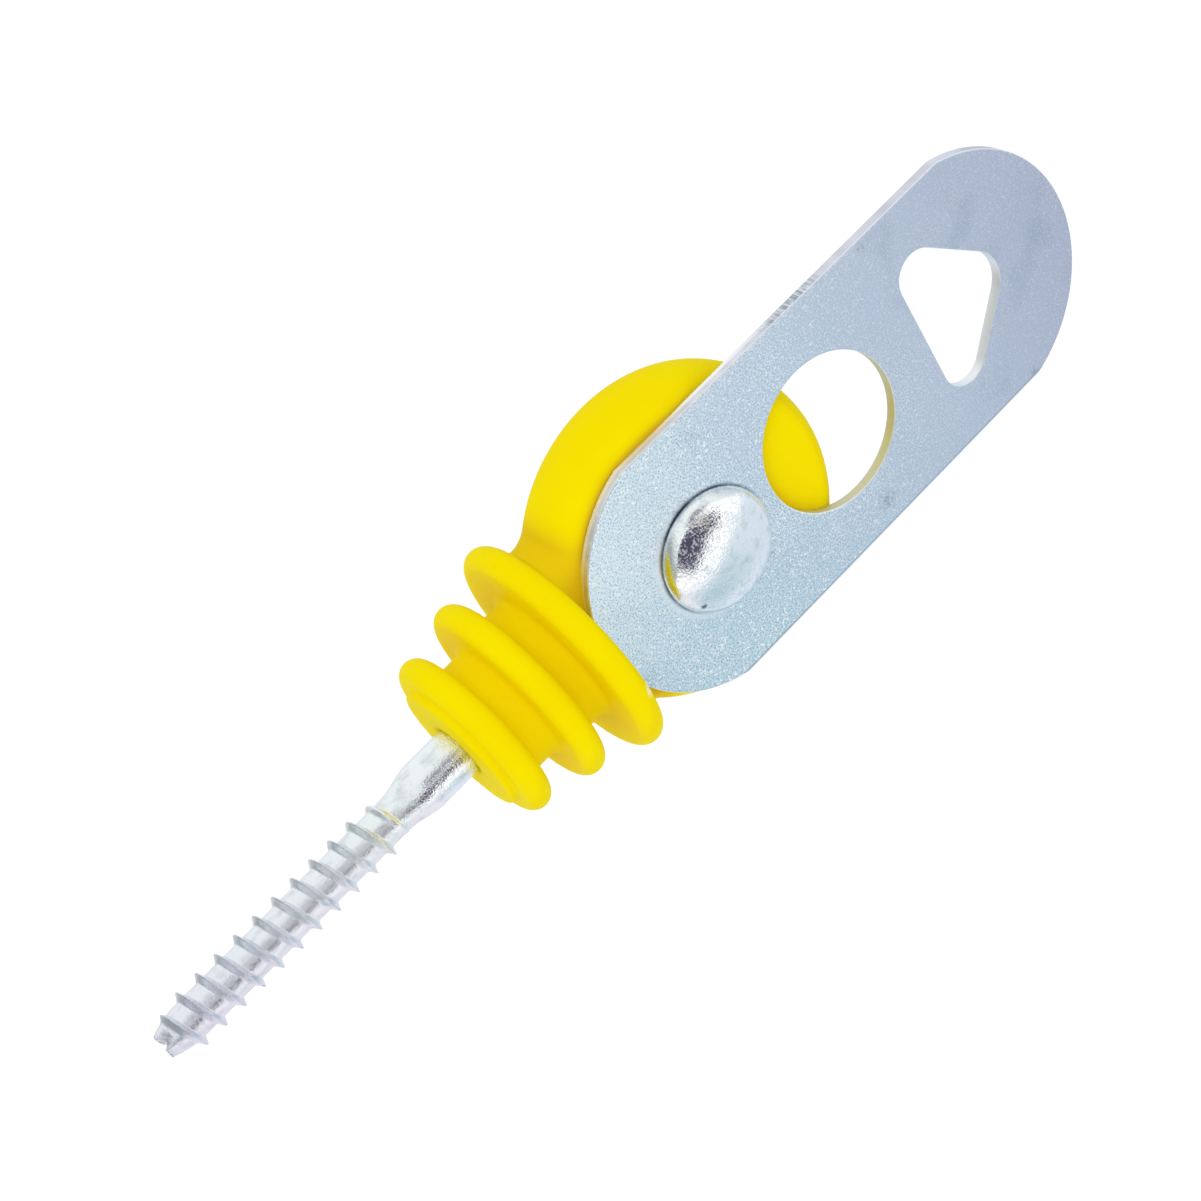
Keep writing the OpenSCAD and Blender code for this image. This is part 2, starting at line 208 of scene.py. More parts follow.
class FinishSettings(PropertyGroup):
    """Colours of the finishes."""

    yellow: colour("Yellow", "Colour of the moulded plastic", (0.94, 0.775, 0.0))
    amber: colour("Amber", "Deeper tone of the moulded plastic", (0.93, 0.735, 0.0))
    hidden_yellow: colour("Hidden yellow", "Tone of the plastic where little light falls", (0.72, 0.46, 0.01))
    speck: colour("Speck", "Colour of the few specks in the plastic", (0.35, 0.20, 0.02))
    chafed: colour("Chafed", "Colour of the plastic where the plate has chafed it", (1.0, 0.96, 0.55))
    sheet_blue: colour("Sheet blue", "Tone of the plated sheet near the bolt", (0.735, 0.85, 0.92))
    # Painted shade: the sheet darkens to this lilac towards its far end
    sheet_lilac_shade: colour("Sheet lilac", "Tone of the plated sheet at its far end", (0.52, 0.535, 0.65))
    sheet_grain: colour("Sheet grain", "Tone of the bright grains of the plated sheet", (0.98, 1.0, 1.0))
    # Also the painted shade of the dark lines along the plate's lower edge
    sheet_smudge_and_shade: colour("Sheet smudge", "Tone of the dull smudges on the plated sheet", (0.36, 0.43, 0.50))
    # Painted reflection: a paler patch of the sheet beside the bolt
    sheet_pale_reflection: colour("Sheet pale", "Tone of the palest part of the plated sheet", (0.87, 0.95, 0.98))
    # Painted glints of the brightest crystals
    sheet_glint: colour("Sheet glint", "Tone of the plated sheet's brightest crystals", (1.0, 1.0, 1.0))
    # Painted highlight round the bolt's head, on the side away from the eyes
    sheet_halo_highlight: colour("Sheet bruise", "Tone of the metal that the head presses bright", (0.95, 0.98, 1.0))
    # Painted highlight along the plate's lower edge
    sheet_edge_highlight: colour("Sheet burr", "Tone of the bright line along the lower edge's burr", (0.95, 0.96, 1.0))
    sheared: colour("Sheared edge", "Tone of the sheet's sheared edge", (0.68, 0.665, 0.745))
    burnished: colour("Burnished edge", "Tone where the shear has burnished the edge", (0.80, 0.80, 0.87))
    # Painted highlight on the back half of the sheared wall
    wall_highlight: colour("Rubbed edge", "Tone where the edge is rubbed bright towards the back", (0.98, 0.97, 0.98))
    rolled: colour("Rolled edge", "Tone of the rolled front edge", (0.92, 0.94, 0.96))
    # Painted reflection of the yellow body on the round eye's wall
    round_eye_wall_reflection: colour("Round eye's wall", "Tone of the round eye's wall", (0.72, 0.70, 0.52))
    # Painted highlight on the three-cornered eye's wall
    wedge_eye_wall_highlight: colour("Three-cornered eye's wall", "Tone of that eye's wall", (0.92, 0.92, 0.96))
    # Painted contact shade round the bolt's head; also the tone of the bolt's small dark dents
    grime_and_shade: colour("Grime", "Tone of the grime that has gathered round the bolt's head", (0.10, 0.16, 0.23))
    zinc: colour("Zinc", "Colour of the bright zinc plating", (0.90, 0.92, 0.93))
    zinc_lilac: colour("Lilac zinc", "Colour of the plating towards the screw's tip", (0.85, 0.84, 0.92))
    zinc_dull: colour("Dull zinc", "Colour of the duller spots of the plating", (0.68, 0.715, 0.755))
    nylon: colour("Nylon", "Colour of the nylon ring", (0.05, 0.13, 0.40))


class StageSettings(PropertyGroup):
    """Camera, floor and lights."""

    lens: FloatProperty(name="Lens", description="Focal length of the camera", default=75.2, unit="CAMERA")
    azimuth: turn("Azimuth", "Turn of the camera round the part, 0 in front of the plate", -16.27)
    elevation: turn("Elevation", "Height of the camera over the part", 37.51)
    roll: turn("Roll", "Turn of the camera about its own axis", -35.01)
    distance: length("Distance", "Distance from the camera to its aim", 292.1)
    aim: FloatVectorProperty(
        name="Aim",
        description="Point on the camera's axis",
        default=(0.02347, -0.00376, 0.00384),
        subtype="XYZ",
    )
    floor_drop: length("Floor depth", "Depth under the screw, past the hanging plate's reach", FLOOR_DEPTH)
    key_power: FloatProperty(
        name="Key light", description="Power of the soft key light", default=1.35, unit="POWER"
    )
    ambient: share("Ambient", "Strength of the light from all round", 0.885, top=4.0)
    bounce: share("Bounce", "Strength of the light that the floor throws up", 1.05, top=4.0)
    shadow: share("Shadow", "Share of the floor's colour that shows its shadows", 0.2)
    white: share("White", "Brightness of the rest of the floor's colour", 1.09, top=2.0)


class InsulatorSettings(PropertyGroup):
    """All the settings of the part."""

    moulding: PointerProperty(type=MouldingSettings)
    screw: PointerProperty(type=LagScrewSettings)
    plate: PointerProperty(type=HookPlateSettings)
    fasteners: PointerProperty(type=FastenerSettings)
    finishes: PointerProperty(type=FinishSettings)
    stage: PointerProperty(type=StageSettings)


# ---------------------------------------------------------------------------------------------
# Node trees
# ---------------------------------------------------------------------------------------------


def fill(tree, node, inputs):
    """Fills a node's inputs with values or with other nodes' sockets."""
    for name, value in inputs.items():
        if isinstance(value, bpy.types.NodeSocket):
            tree.links.new(value, node.inputs[name])
        else:
            node.inputs[name].default_value = value


def add_node(tree, kind, inputs=None, **settings):
    """Adds a node, sets it up and fills its inputs."""
    made = tree.nodes.new(kind)
    for name, value in settings.items():
        setattr(made, name, value)
    fill(tree, made, inputs or {})
    return made


def calc(tree, operation, *values):
    """Output of a math node."""
    return add_node(tree, "ShaderNodeMath", dict(enumerate(values)), operation=operation).outputs[0]


def times(tree, product, *others):
    """Product of two or more values."""
    for other in others:
        product = calc(tree, "MULTIPLY", product, other)
    return product


def split(tree, place):
    """A place's X, Y and Z."""
    return add_node(tree, "ShaderNodeSeparateXYZ", {"Vector": place}).outputs


def scaled(tree, place, scale):
    """A place with each of its axes scaled."""
    return add_node(tree, "ShaderNodeMapping", {"Vector": place, "Scale": scale}).outputs[0]


def stretch(tree, value, low, high, to_low=0.0, to_high=1.0, smooth=False):
    """A value stretched from one range to another, and held inside the new one."""
    kind = "SMOOTHSTEP" if smooth else "LINEAR"
    ends = {"Value": value, "From Min": low, "From Max": high, "To Min": to_low, "To Max": to_high}
    return add_node(tree, "ShaderNodeMapRange", ends, interpolation_type=kind, clamp=True).outputs["Result"]


def near(tree, place, spot, inner, outer):
    """1 within inner metres of a spot, falling to 0 at outer metres."""
    ends = {0: place, 1: spot}
    away = add_node(tree, "ShaderNodeVectorMath", ends, operation="DISTANCE").outputs["Value"]
    return stretch(tree, away, inner, outer, 1.0, 0.0)


def grain(tree, place, size, detail=2.0, rough=0.5):
    """Noise whose grains are about size metres across."""
    inputs = {"Vector": place, "Scale": 1.0 / size, "Detail": detail, "Roughness": rough}
    return add_node(tree, "ShaderNodeTexNoise", inputs).outputs[0]


def blend_colours(tree, factor, first, second):
    """Mix of two colours, each a socket or a plain linear colour.

    The colours are sockets 6 and 7 of the node, and their mix is its output 2.
    """
    inputs = {"Factor": factor}
    for socket, tone in ((6, first), (7, second)):
        inputs[socket] = tone if isinstance(tone, bpy.types.NodeSocket) else (*tone, 1.0)
    return add_node(tree, "ShaderNodeMix", inputs, data_type="RGBA").outputs[2]


def layered(tree, ground, layers):
    """Tones laid over a ground one after another. A layer is (how much of it covers, tone)."""
    for cover, tone in layers:
        ground = blend_colours(tree, cover, ground, tone)
    return ground


def bumps(tree, height, depth, below=None):
    """Normal bent by a height field that is depth metres deep, over the normal below it."""
    inputs = {"Height": height, "Distance": depth, "Strength": 1.0}
    if below is not None:
        inputs["Normal"] = below
    return add_node(tree, "ShaderNodeBump", inputs).outputs[0]


def emptied_tree(block):
    """The node tree of a material or a world, with nothing in it."""
    block.use_nodes = True
    block.node_tree.nodes.clear()
    return block.node_tree


def new_material(name):
    """An empty material: its tree, its Principled shader and its Object coordinates."""
    material = bpy.data.materials.new(name)
    tree = emptied_tree(material)
    shader = add_node(tree, "ShaderNodeBsdfPrincipled")
    add_node(tree, "ShaderNodeOutputMaterial", {"Surface": shader.outputs[0]})
    place = add_node(tree, "ShaderNodeTexCoord").outputs["Object"]
    return material, tree, shader, place


# ---------------------------------------------------------------------------------------------
# Materials
# ---------------------------------------------------------------------------------------------


def moulded_plastic(finish, head_start, chafed_spots):
    """Satin yellow plastic: faint waves and tone changes, a fine skin, specks and chafed spots."""
    material, tree, shader, place = new_material("moulded_plastic")
    tone = stretch(tree, grain(tree, place, 9 * MM), 0.35, 0.75)
    # One small speck in each cell whose number is high
    cell_inputs = {"Vector": place, "Scale": 1 / (7 * MM), "Randomness": 1.0}
    cells = add_node(tree, "ShaderNodeTexVoronoi", cell_inputs).outputs
    number = add_node(tree, "ShaderNodeSeparateColor", {"Color": cells["Color"]}).outputs[0]
    specks = times(tree, stretch(tree, cells["Distance"], 0.03, 0.02), stretch(tree, number, 0.6, 0.62))
    layers = [(tone, finish.amber), (specks, finish.speck)]
    ragged = stretch(tree, grain(tree, place, 0.9 * MM, detail=3.0), 0.47, 0.52)
    for spot, reach in chafed_spots:
        layers.append((times(tree, near(tree, place, spot, 0.4 * reach, reach), ragged), finish.chafed))
    # Deeper tone where the plate keeps the light off the head, mostly beside the bolt
    along = split(tree, place)["X"]
    on_head = stretch(tree, along, head_start, head_start + 6 * MM, 0.03, 1.0)
    by_bolt = stretch(tree, along, SWIVEL.x + 2 * MM, SWIVEL.x + 16 * MM, 1.0, 0.2)
    open_side = add_node(tree, "ShaderNodeAmbientOcclusion", {"Distance": 6 * MM}, samples=16).outputs["AO"]
    hidden = times(tree, stretch(tree, open_side, 0.97, 0.68), on_head, by_bolt)
    layers.append((hidden, finish.hidden_yellow))
    waves = bumps(tree, grain(tree, place, 4 * MM, detail=1.0), 0.05 * MM)
    looks = {
        "Base Color": layered(tree, finish.yellow, layers),
        "Roughness": stretch(tree, grain(tree, place, 2 * MM), 0.3, 0.7, 0.42, 0.52),
        "Specular IOR Level": 0.01,
        "Normal": bumps(tree, grain(tree, place, 0.35 * MM, detail=3.0), 0.006 * MM, below=waves),
    }
    fill(tree, shader, looks)
    return material


# Marks that wear has left on the plate's front: place along X and Z, reach, and strength
SHEET_MARKS = (
    ((60.0, -14.2), 1.8, 0.8),
    ((72.8, 16.4), 0.9, 0.9),
    ((86.4, -16.9), 1.0, 0.8),
    ((88.2, 1.7), 2.2, 0.3),
)
# Middle of the painted reflection that makes the palest part of the plate's front, on the side of the bolt
# that is away from the eyes
PALE_REFLECTION_SPOT = (SWIVEL.x - 13 * MM, PLATE_LOW.y, 9 * MM)
# Middle of the stretch of the plate's upper edge where the shear has torn the metal
TORN_SPOT = (61.5 * MM, PLATE_HIGH.y, PLATE_HIGH.z)


def sheet_grains(tree, place, axes):
    """Grains of the plated sheet: its fine noise, bright grains, pits and white glints."""
    amount = stretch(tree, axes["X"], SWIVEL.x, PLATE_HIGH.x - 24 * MM, 1.0, 0.2)
    fine = grain(tree, place, 0.23 * MM, rough=0.6)
    patch = stretch(tree, grain(tree, place, 12 * MM, detail=1.0), 0.3, 0.7, 0.57, 0.50)
    sparkle = times(tree, stretch(tree, fine, patch, calc(tree, "ADD", patch, 0.05)), amount)
    pits = times(tree, stretch(tree, fine, 0.47, 0.38), amount, 0.7)
    # Painted glints: sparse white dots, fewer towards the far end
    glints = times(tree, stretch(tree, grain(tree, place, 0.3 * MM, detail=1.0), 0.63, 0.69), amount)
    return fine, sparkle, pits, glints


def sheet_face(tree, place, axes, finish, sparkle, pits, glints):
    """Tone of the plated sheet's faces."""
    # Painted reflection: a paler patch on the side of the bolt away from the eyes
    pale = near(tree, place, PALE_REFLECTION_SPOT, 3 * MM, 17 * MM)
    layers = [
        # Painted shade: darker and more lilac towards the far end
        (calc(tree, "POWER", stretch(tree, axes["X"], SWIVEL.x, PLATE_HIGH.x), 0.75), finish.sheet_lilac_shade),
        (stretch(tree, grain(tree, place, 9 * MM, detail=4.0), 0.58, 0.8, 0.0, 0.7), finish.sheet_smudge_and_shade),
        (times(tree, pale, 0.8), finish.sheet_pale_reflection),
        (pits, finish.sheet_smudge_and_shade),
        (sparkle, finish.sheet_grain),
        (glints, finish.sheet_glint),
    ]
    for (x, z), reach, strength in SHEET_MARKS:
        mark = near(tree, place, (x * MM, PLATE_LOW.y, z * MM), 0.3 * reach * MM, reach * MM)
        ragged = stretch(tree, grain(tree, place, 0.5 * MM, detail=4.0), 0.42, 0.62, 0.0, strength)
        layers.append((times(tree, mark, ragged), finish.sheet_smudge_and_shade))
    # Round the bolt's head: a painted highlight on the side away from the eyes, and a dark ring of painted
    # contact shade
    head_r = (BOLT_HIGH.x - BOLT_LOW.x) / 2
    foot = (SWIVEL.x, PLATE_LOW.y, 0.0)
    painted_halo = near(tree, place, foot, head_r + 0.7 * MM, head_r + 1.3 * MM)
    away = stretch(tree, axes["X"], SWIVEL.x - 1 * MM, SWIVEL.x - 6 * MM)
    layers.append((times(tree, painted_halo, away, 0.6), finish.sheet_halo_highlight))
    # Painted contact shade: a dark, uneven ring close round the head's foot
    grime_and_shade = calc(tree, "POWER", near(tree, place, foot, head_r + 0.08 * MM, head_r + 0.52 * MM), 1.5)
    uneven = stretch(tree, grain(tree, place, 3 * MM), 0.35, 0.65, 0.55, 1.0)
    layers.append((times(tree, grime_and_shade, uneven), finish.grime_and_shade))
    # Painted lines along the lower edge: a fine dark line of painted shade, a painted highlight and another
    # dark line of painted shade
    in_from_edge = calc(tree, "SUBTRACT", axes["Z"], PLATE_LOW.z)
    for width, tone in ((0.42, finish.sheet_smudge_and_shade), (0.26, finish.sheet_edge_highlight), (0.08, finish.sheet_smudge_and_shade)):
        layers.append((stretch(tree, in_from_edge, (width + 0.03) * MM, (width - 0.03) * MM), tone))
    return layered(tree, finish.sheet_blue, layers)


def sheet_wall(tree, place, axes, finish):
    """Tone of the wall that the shear left, between the sheet's rolled front edge and its back."""
    streaks = scaled(tree, place, (1.0, 0.1, 1.0))
    torn = stretch(tree, grain(tree, place, 7 * MM, detail=1.0), 0.58, 0.68)
    torn = calc(tree, "MAXIMUM", torn, near(tree, place, TORN_SPOT, 3 * MM, 6 * MM))
    fracture = times(tree, stretch(tree, grain(tree, streaks, 0.3 * MM, detail=3.0), 0.42, 0.6), torn)
    middle = (PLATE_LOW.y + PLATE_HIGH.y) / 2
    # Painted highlight: the back half of the wall is made bright, fading out between 52 and 62 mm along X
    wall_highlight = stretch(tree, axes["Y"], middle, PLATE_HIGH.y - 0.5 * MM)
    wall_highlight = times(tree, wall_highlight, stretch(tree, axes["X"], 62 * MM, 52 * MM))
    layers = (
        (stretch(tree, grain(tree, streaks, 3 * MM), 0.35, 0.65), finish.burnished),
        (fracture, finish.sheet_smudge_and_shade),
        (wall_highlight, finish.wall_highlight),
        # Painted reflection of the yellow body on the round eye's wall, and a painted highlight on the
        # three-cornered eye's wall
        (near(tree, place, MOUNTS["round_eye"], 10.4 * MM, 11 * MM), finish.round_eye_wall_reflection),
        (near(tree, place, MOUNTS["wedge_eye"], 12.5 * MM, 13 * MM), finish.wedge_eye_wall_highlight),
    )
    return layered(tree, finish.sheared, layers)


def plated_sheet(finish, roll_down):
    """Zinc plated sheet: fine bright grains on pale blue, dull smudges, and a sheared edge."""
    material, tree, shader, place = new_material("plated_sheet")
    axes = split(tree, place)
    front, back = PLATE_LOW.y, PLATE_HIGH.y
    fine, sparkle, pits, glints = sheet_grains(tree, place, axes)
    face = sheet_face(tree, place, axes, finish, sparkle, pits, glints)
    rolled = stretch(tree, axes["Y"], front + roll_down, front + 1.6 * roll_down, 1.0, 0.0)
    edge = blend_colours(tree, rolled, sheet_wall(tree, place, axes, finish), finish.rolled)
    off_front = stretch(tree, axes["Y"], front + 0.02 * MM, front + 0.05 * MM)
    off_back = stretch(tree, axes["Y"], back - 0.05 * MM, back - 0.02 * MM, 1.0, 0.0)
    wall = times(tree, off_front, off_back)
    rough = stretch(tree, fine, 0.3, 0.7, 0.40, 0.28)
    looks = {
        "Base Color": blend_colours(tree, wall, face, edge),
        "Roughness": calc(tree, "ADD", rough, times(tree, wall, 0.2)),
        "Normal": bumps(tree, fine, 0.012 * MM),
        # Painted glints: the brightest crystals are white and less metallic, so they scatter white
        "Metallic": stretch(tree, glints, 0.0, 1.0, 1.0, 0.3),
    }
    fill(tree, shader, looks)
    return material


def bright_zinc(
    name, finish, drawn_out=1.0, dents=0.006, mottle=0.03, mottle_w=0.3, rough=0.05, frost=0.3, scars=()
):
    """Bright zinc plating with dents, a fine mottle, and dull spots. It may be drawn out along X.

    dents and mottle are depths and mottle_w is a width, all in millimetres. rough is the least roughness,
    and frost is what the frosted grains add to it. scars are places of small dark dents.
    """
    material, tree, shader, place = new_material(name)
    drawn = scaled(tree, place, (drawn_out, 1.0, 1.0))
    along = split(tree, place)["X"]
    layers = [
        (stretch(tree, along, -12 * MM, SCREW_LOW.x), finish.zinc_lilac),
        (stretch(tree, grain(tree, drawn, 1.2 * MM, detail=4.0), 0.5, 0.75), finish.zinc_dull),
    ]
    for scar in scars:
        dent = stretch(tree, grain(tree, place, 0.3 * MM, detail=3.0), 0.36, 0.5)
        layers.append((times(tree, near(tree, place, scar, 0.2 * MM, 0.62 * MM), dent), finish.grime_and_shade))
    uneven = stretch(tree, grain(tree, drawn, 0.8 * MM), 0.3, 0.7, rough, rough + 0.12)
    on_thread = stretch(tree, along, -6 * MM, -8.5 * MM, 0.0, 0.16)
    frosted = stretch(tree, grain(tree, place, 0.26 * MM, detail=3.0), 0.52, 0.6, 0.0, frost)
    deep = bumps(tree, grain(tree, drawn, 1.1 * MM, detail=1.0), dents * MM)
    looks = {
        "Base Color": layered(tree, finish.zinc, layers),
        "Metallic": 1.0,
        "Roughness": calc(tree, "ADD", uneven, calc(tree, "ADD", on_thread, frosted)),
        "Normal": bumps(tree, grain(tree, place, mottle_w * MM), mottle * MM, below=deep),
    }
    fill(tree, shader, looks)
    return material


def dull_nylon(finish):
    """Dull nylon of the nut's ring."""
    material, tree, shader, place = new_material("dull_nylon")
    tone = stretch(tree, grain(tree, place, 0.5 * MM), 0.3, 0.7)
    lighter = [min(1.0, part * 1.3 + 0.01) for part in finish.nylon]
    looks = {
        "Base Color": blend_colours(tree, tone, finish.nylon, lighter),
        "Roughness": 0.5,
        "Normal": bumps(tree, grain(tree, place, 0.15 * MM), 0.005 * MM),
    }
    fill(tree, shader, looks)
    return material


# ---------------------------------------------------------------------------------------------
# Meshes
# ---------------------------------------------------------------------------------------------


def link_object(name, data):
    """A new object at the origin, linked to the scene."""
    made = bpy.data.objects.new(name, data)
    bpy.context.scene.collection.objects.link(made)
    return made


def make_mesh(name, points, faces, material):
    """A linked mesh object at the origin, with its faces pointing outwards."""
    mesh = bpy.data.meshes.new(name)
    mesh.from_pydata([tuple(p) for p in points], [], [tuple(f) for f in faces])
    mesh.materials.append(material)
    shape = bmesh.new()
    shape.from_mesh(mesh)
    bmesh.ops.recalc_face_normals(shape, faces=shape.faces)
    shape.to_mesh(mesh)
    shape.free()
    return link_object(name, mesh)


def shade(piece, sharp_angle=None):
    """Smooth shading, with edges sharper than the angle kept crisp."""
    piece.data.shade_smooth()
    if sharp_angle is not None:
        piece.data.set_sharp_from_angle(angle=math.radians(sharp_angle))


def hand_over(piece, node, body):
    """Lets a piece stand for a node of the frame and ride on its body."""
    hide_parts(node)
    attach(piece, body)


def arc(x, y, radius, first, last, steps):
    """Points on an arc round (x, y), from one angle to another."""
    angles = [first + (last - first) * i / steps for i in range(steps + 1)]
    return [(x + radius * math.cos(a), y + radius * math.sin(a)) for a in angles]


def round_corner(x0, y0, x1, y1, steps, bulge_first):
    """Points on a quarter of an ellipse from one point to another, as (x, y).

    bulge_first tells whether the curve leaves its first point along x.
    """
    points = []
    for i in range(steps + 1):
        a = math.pi / 2 * i / steps
        fast, slow = math.sin(a), 1 - math.cos(a)
        to_x, to_y = (fast, slow) if bulge_first else (slow, fast)
        points.append((x0 + (x1 - x0) * to_x, y0 + (y1 - y0) * to_y))
    return points


def turned_corner(*corner):
    """Stations of a turned piece along a round corner, which is given as (radius, height)."""
    return [(z, r) for r, z in round_corner(*corner)]


def wall_radius(angle, half_flats, sides):
    """Distance from the axis to a prism's wall, for flats at half_flats. No sides means round."""
    if sides == 0:
        return half_flats
    sector = 2 * math.pi / sides
    return half_flats / math.cos((angle + sector / 2) % sector - sector / 2)


def turned(name, stations, material, segments=96, ring=False):
    """A closed piece turned about Z.

    A station is (height, radius) or (height, radius, sides, limit), where sides is the number of
    flats at that radius and limit is a radius that rounds off their corners. A ring's last
    station joins its first one.
    """
    points = []
    rings = []
    for station in stations:
        z, radius = station[:2]
        sides, limit = station[2:] if len(station) > 2 else (0, math.inf)
        if radius == 0:
            rings.append([len(points)] * segments)
            points.append((0.0, 0.0, z))
            continue
        rings.append(list(range(len(points), len(points) + segments)))
        for k in range(segments):
            angle = 2 * math.pi * k / segments
            r = min(limit, wall_radius(angle, radius, sides))
            points.append((r * math.cos(angle), r * math.sin(angle), z))
    faces = []
    for low, high in zip(rings, rings[1:] + rings[:1] if ring else rings[1:]):
        for k in range(segments):
            j = (k + 1) % segments
            corners = [low[k], low[j], high[j], high[k]]
            faces.append([c for i, c in enumerate(corners) if c != corners[i - 1]])
    return make_mesh(name, points, faces, material)


def set_in_place(piece, matrix, sharp_angle, node, body):
    """Moves a turned piece's mesh to its place, shades the piece and hands it over."""
    piece.data.transform(matrix)
    piece.data.update()
    shade(piece, sharp_angle)
    hand_over(piece, node, body)


# ---------------------------------------------------------------------------------------------
# Threads, made with Geometry Nodes
# ---------------------------------------------------------------------------------------------

THREAD_INPUTS = (
    ("Low", "Height at which the thread ends"),
    ("High", "Height at which the thread starts"),
    ("Pitch", "Distance between two crests"),
    ("Height", "Height of the crests over the core"),
    ("Phase", "Part of a turn by which the crests are turned"),
    ("Crest", "Half width of a crest, as a part of the pitch"),
    ("Root", "Distance from a crest to the root, as a part of the pitch"),
    ("Hollow", "Power that makes the flanks hollow"),
    ("Lean", "How many times steeper the flanks towards the high end are"),
    ("Fade low", "Length over which the thread sinks at its low end"),
    ("Fade high", "Length over which the thread rises at its high end"),
    ("Wear", "Depth of the uneven places on the crests"),
)


def thread_tree():
    """Geometry nodes that raise a right-hand thread on a piece turned about Z."""
    tree = bpy.data.node_groups.new("right_hand_thread", "GeometryNodeTree")
    face = tree.interface
    face.new_socket("Geometry", in_out="OUTPUT", socket_type="NodeSocketGeometry")
    face.new_socket("Geometry", in_out="INPUT", socket_type="NodeSocketGeometry")
    for name, description in THREAD_INPUTS:
        face.new_socket(name, description=description, in_out="INPUT", socket_type="NodeSocketFloat")
    face.new_socket("Material", in_out="INPUT", socket_type="NodeSocketMaterial")
    given = add_node(tree, "NodeGroupInput").outputs
    place = add_node(tree, "GeometryNodeInputPosition").outputs[0]
    axes = split(tree, place)
    angle = calc(tree, "ARCTAN2", axes["Y"], axes["X"])
    turns_round = calc(tree, "DIVIDE", angle, 2 * math.pi)
    turns_up = calc(tree, "DIVIDE", axes["Z"], given["Pitch"])
    turns = calc(tree, "ADD", calc(tree, "SUBTRACT", turns_round, turns_up), given["Phase"])
    part = calc(tree, "FRACT", turns)
    steep_side = times(tree, calc(tree, "SUBTRACT", 1.0, part), given["Lean"])
    from_crest = calc(tree, "MINIMUM", part, steep_side)
    flank = calc(tree, "POWER", stretch(tree, from_crest, given["Root"], given["Crest"]), given["Hollow"])
    over_low = calc(tree, "SUBTRACT", axes["Z"], given["Low"])
    under_high = calc(tree, "SUBTRACT", given["High"], axes["Z"])
    above = stretch(tree, over_low, 0.0, given["Fade low"], smooth=True)
    below = stretch(tree, under_high, 0.0, given["Fade high"], smooth=True)
    wear = times(tree, grain(tree, place, 1.1 * MM), given["Wear"])
    crest = calc(tree, "SUBTRACT", given["Height"], wear)
    rise = times(tree, flank, crest, above, below)
    across = {"X": calc(tree, "COSINE", angle), "Y": calc(tree, "SINE", angle)}
    outwards = add_node(tree, "ShaderNodeCombineXYZ", across).outputs[0]
    push = {0: outwards, "Scale": rise}
    offset = add_node(tree, "ShaderNodeVectorMath", push, operation="SCALE").outputs[0]
    push = {"Geometry": given["Geometry"], "Offset": offset}
    raised = add_node(tree, "GeometryNodeSetPosition", push).outputs[0]
    real = add_node(tree, "GeometryNodeRealizeInstances", {"Geometry": raised}).outputs[0]
    coat = {"Geometry": real, "Material": given["Material"]}
    coated = add_node(tree, "GeometryNodeSetMaterial", coat).outputs[0]
    add_node(tree, "NodeGroupOutput", {0: coated})
    return tree


def cut_thread(piece, material, values):
    """Runs the thread tree on a piece and keeps the result as its plain mesh."""
    tree = bpy.data.node_groups.get("right_hand_thread") or thread_tree()
    modifier = piece.modifiers.new("thread", "NODES")
    modifier.node_group = tree
    sockets = {item.name: item.identifier for item in tree.interface.items_tree if item.in_out == "INPUT"}
    for name, value in {**values, "Material": material}.items():
        modifier[sockets[name]] = value
    graph = bpy.context.evaluated_depsgraph_get()
    finished = bpy.data.meshes.new_from_object(piece.evaluated_get(graph))
    piece.modifiers.remove(modifier)
    plain = piece.data
    piece.data = finished
    bpy.data.meshes.remove(plain)
    piece.data.name = piece.name


# ---------------------------------------------------------------------------------------------
# Moulded body, made as a distance field in millimetres
# ---------------------------------------------------------------------------------------------

# How far the forms that make up the body reach into each other, and its holes past its faces
OVERLAP = 1.0
NECK_OVERLAP = 1.5
# The sizes of the flanges, from the seat up
FLANGES = ("low_flange_d", "mid_flange_d", "top_flange_d")
# Fins of flash on the seam, each with its flange, its side, where it is along X from the flange's
# middle, how far in from the flange's edge, and half its length and height, in millimetres
FLASH = (
    ("top_flange_d", -1, 0.6, 0.0, 0.9, 0.22),
    ("top_flange_d", 1, -0.9, 0.1, 0.5, 0.16),
    ("mid_flange_d", -1, 0.3, 0.0, 0.6, 0.15),
    ("low_flange_d", -1, 0.8, 0.1, 0.7, 0.25),
    ("low_flange_d", -1, -0.7, 0.1, 0.4, 0.2),
)


def joined(a, b, radius):
    """Union of two distance fields, with a fillet of that radius in the corner between them."""
    corner = np.hypot(np.maximum(radius - a, 0.0), np.maximum(radius - b, 0.0))
    return np.maximum(radius, np.minimum(a, b)) - corner


def rod(along, radius, low, high, r, edge=0.0):
    """Distance to a rod whose ends have rounded edges."""
    past_end = np.abs(along - (low + high) / 2) - (high - low) / 2 + edge
    past_side = radius - r + edge
    outside = np.hypot(np.maximum(past_end, 0.0), np.maximum(past_side, 0.0))
    return outside + np.minimum(np.maximum(past_end, past_side), 0.0) - edge


def hole(from_axis, radius, along, low, high):
    """Field of a straight hole between two ends, negative in it. Its outer corners aren't exact."""
    return np.maximum(from_axis - radius, np.maximum(low - along, along - high))


def oval_edge(past_flat, across, rim_w, half_t):
    """Distance to a slab of half_t whose edge, past_flat beyond its flat, is half an ellipse."""
    w = np.maximum(past_flat, 0.0)
    y = np.hypot(across, 1e-6)
    level = np.hypot(w / rim_w, y / half_t)
    return level * (level - 1.0) / np.hypot(w / rim_w**2, y / half_t**2)


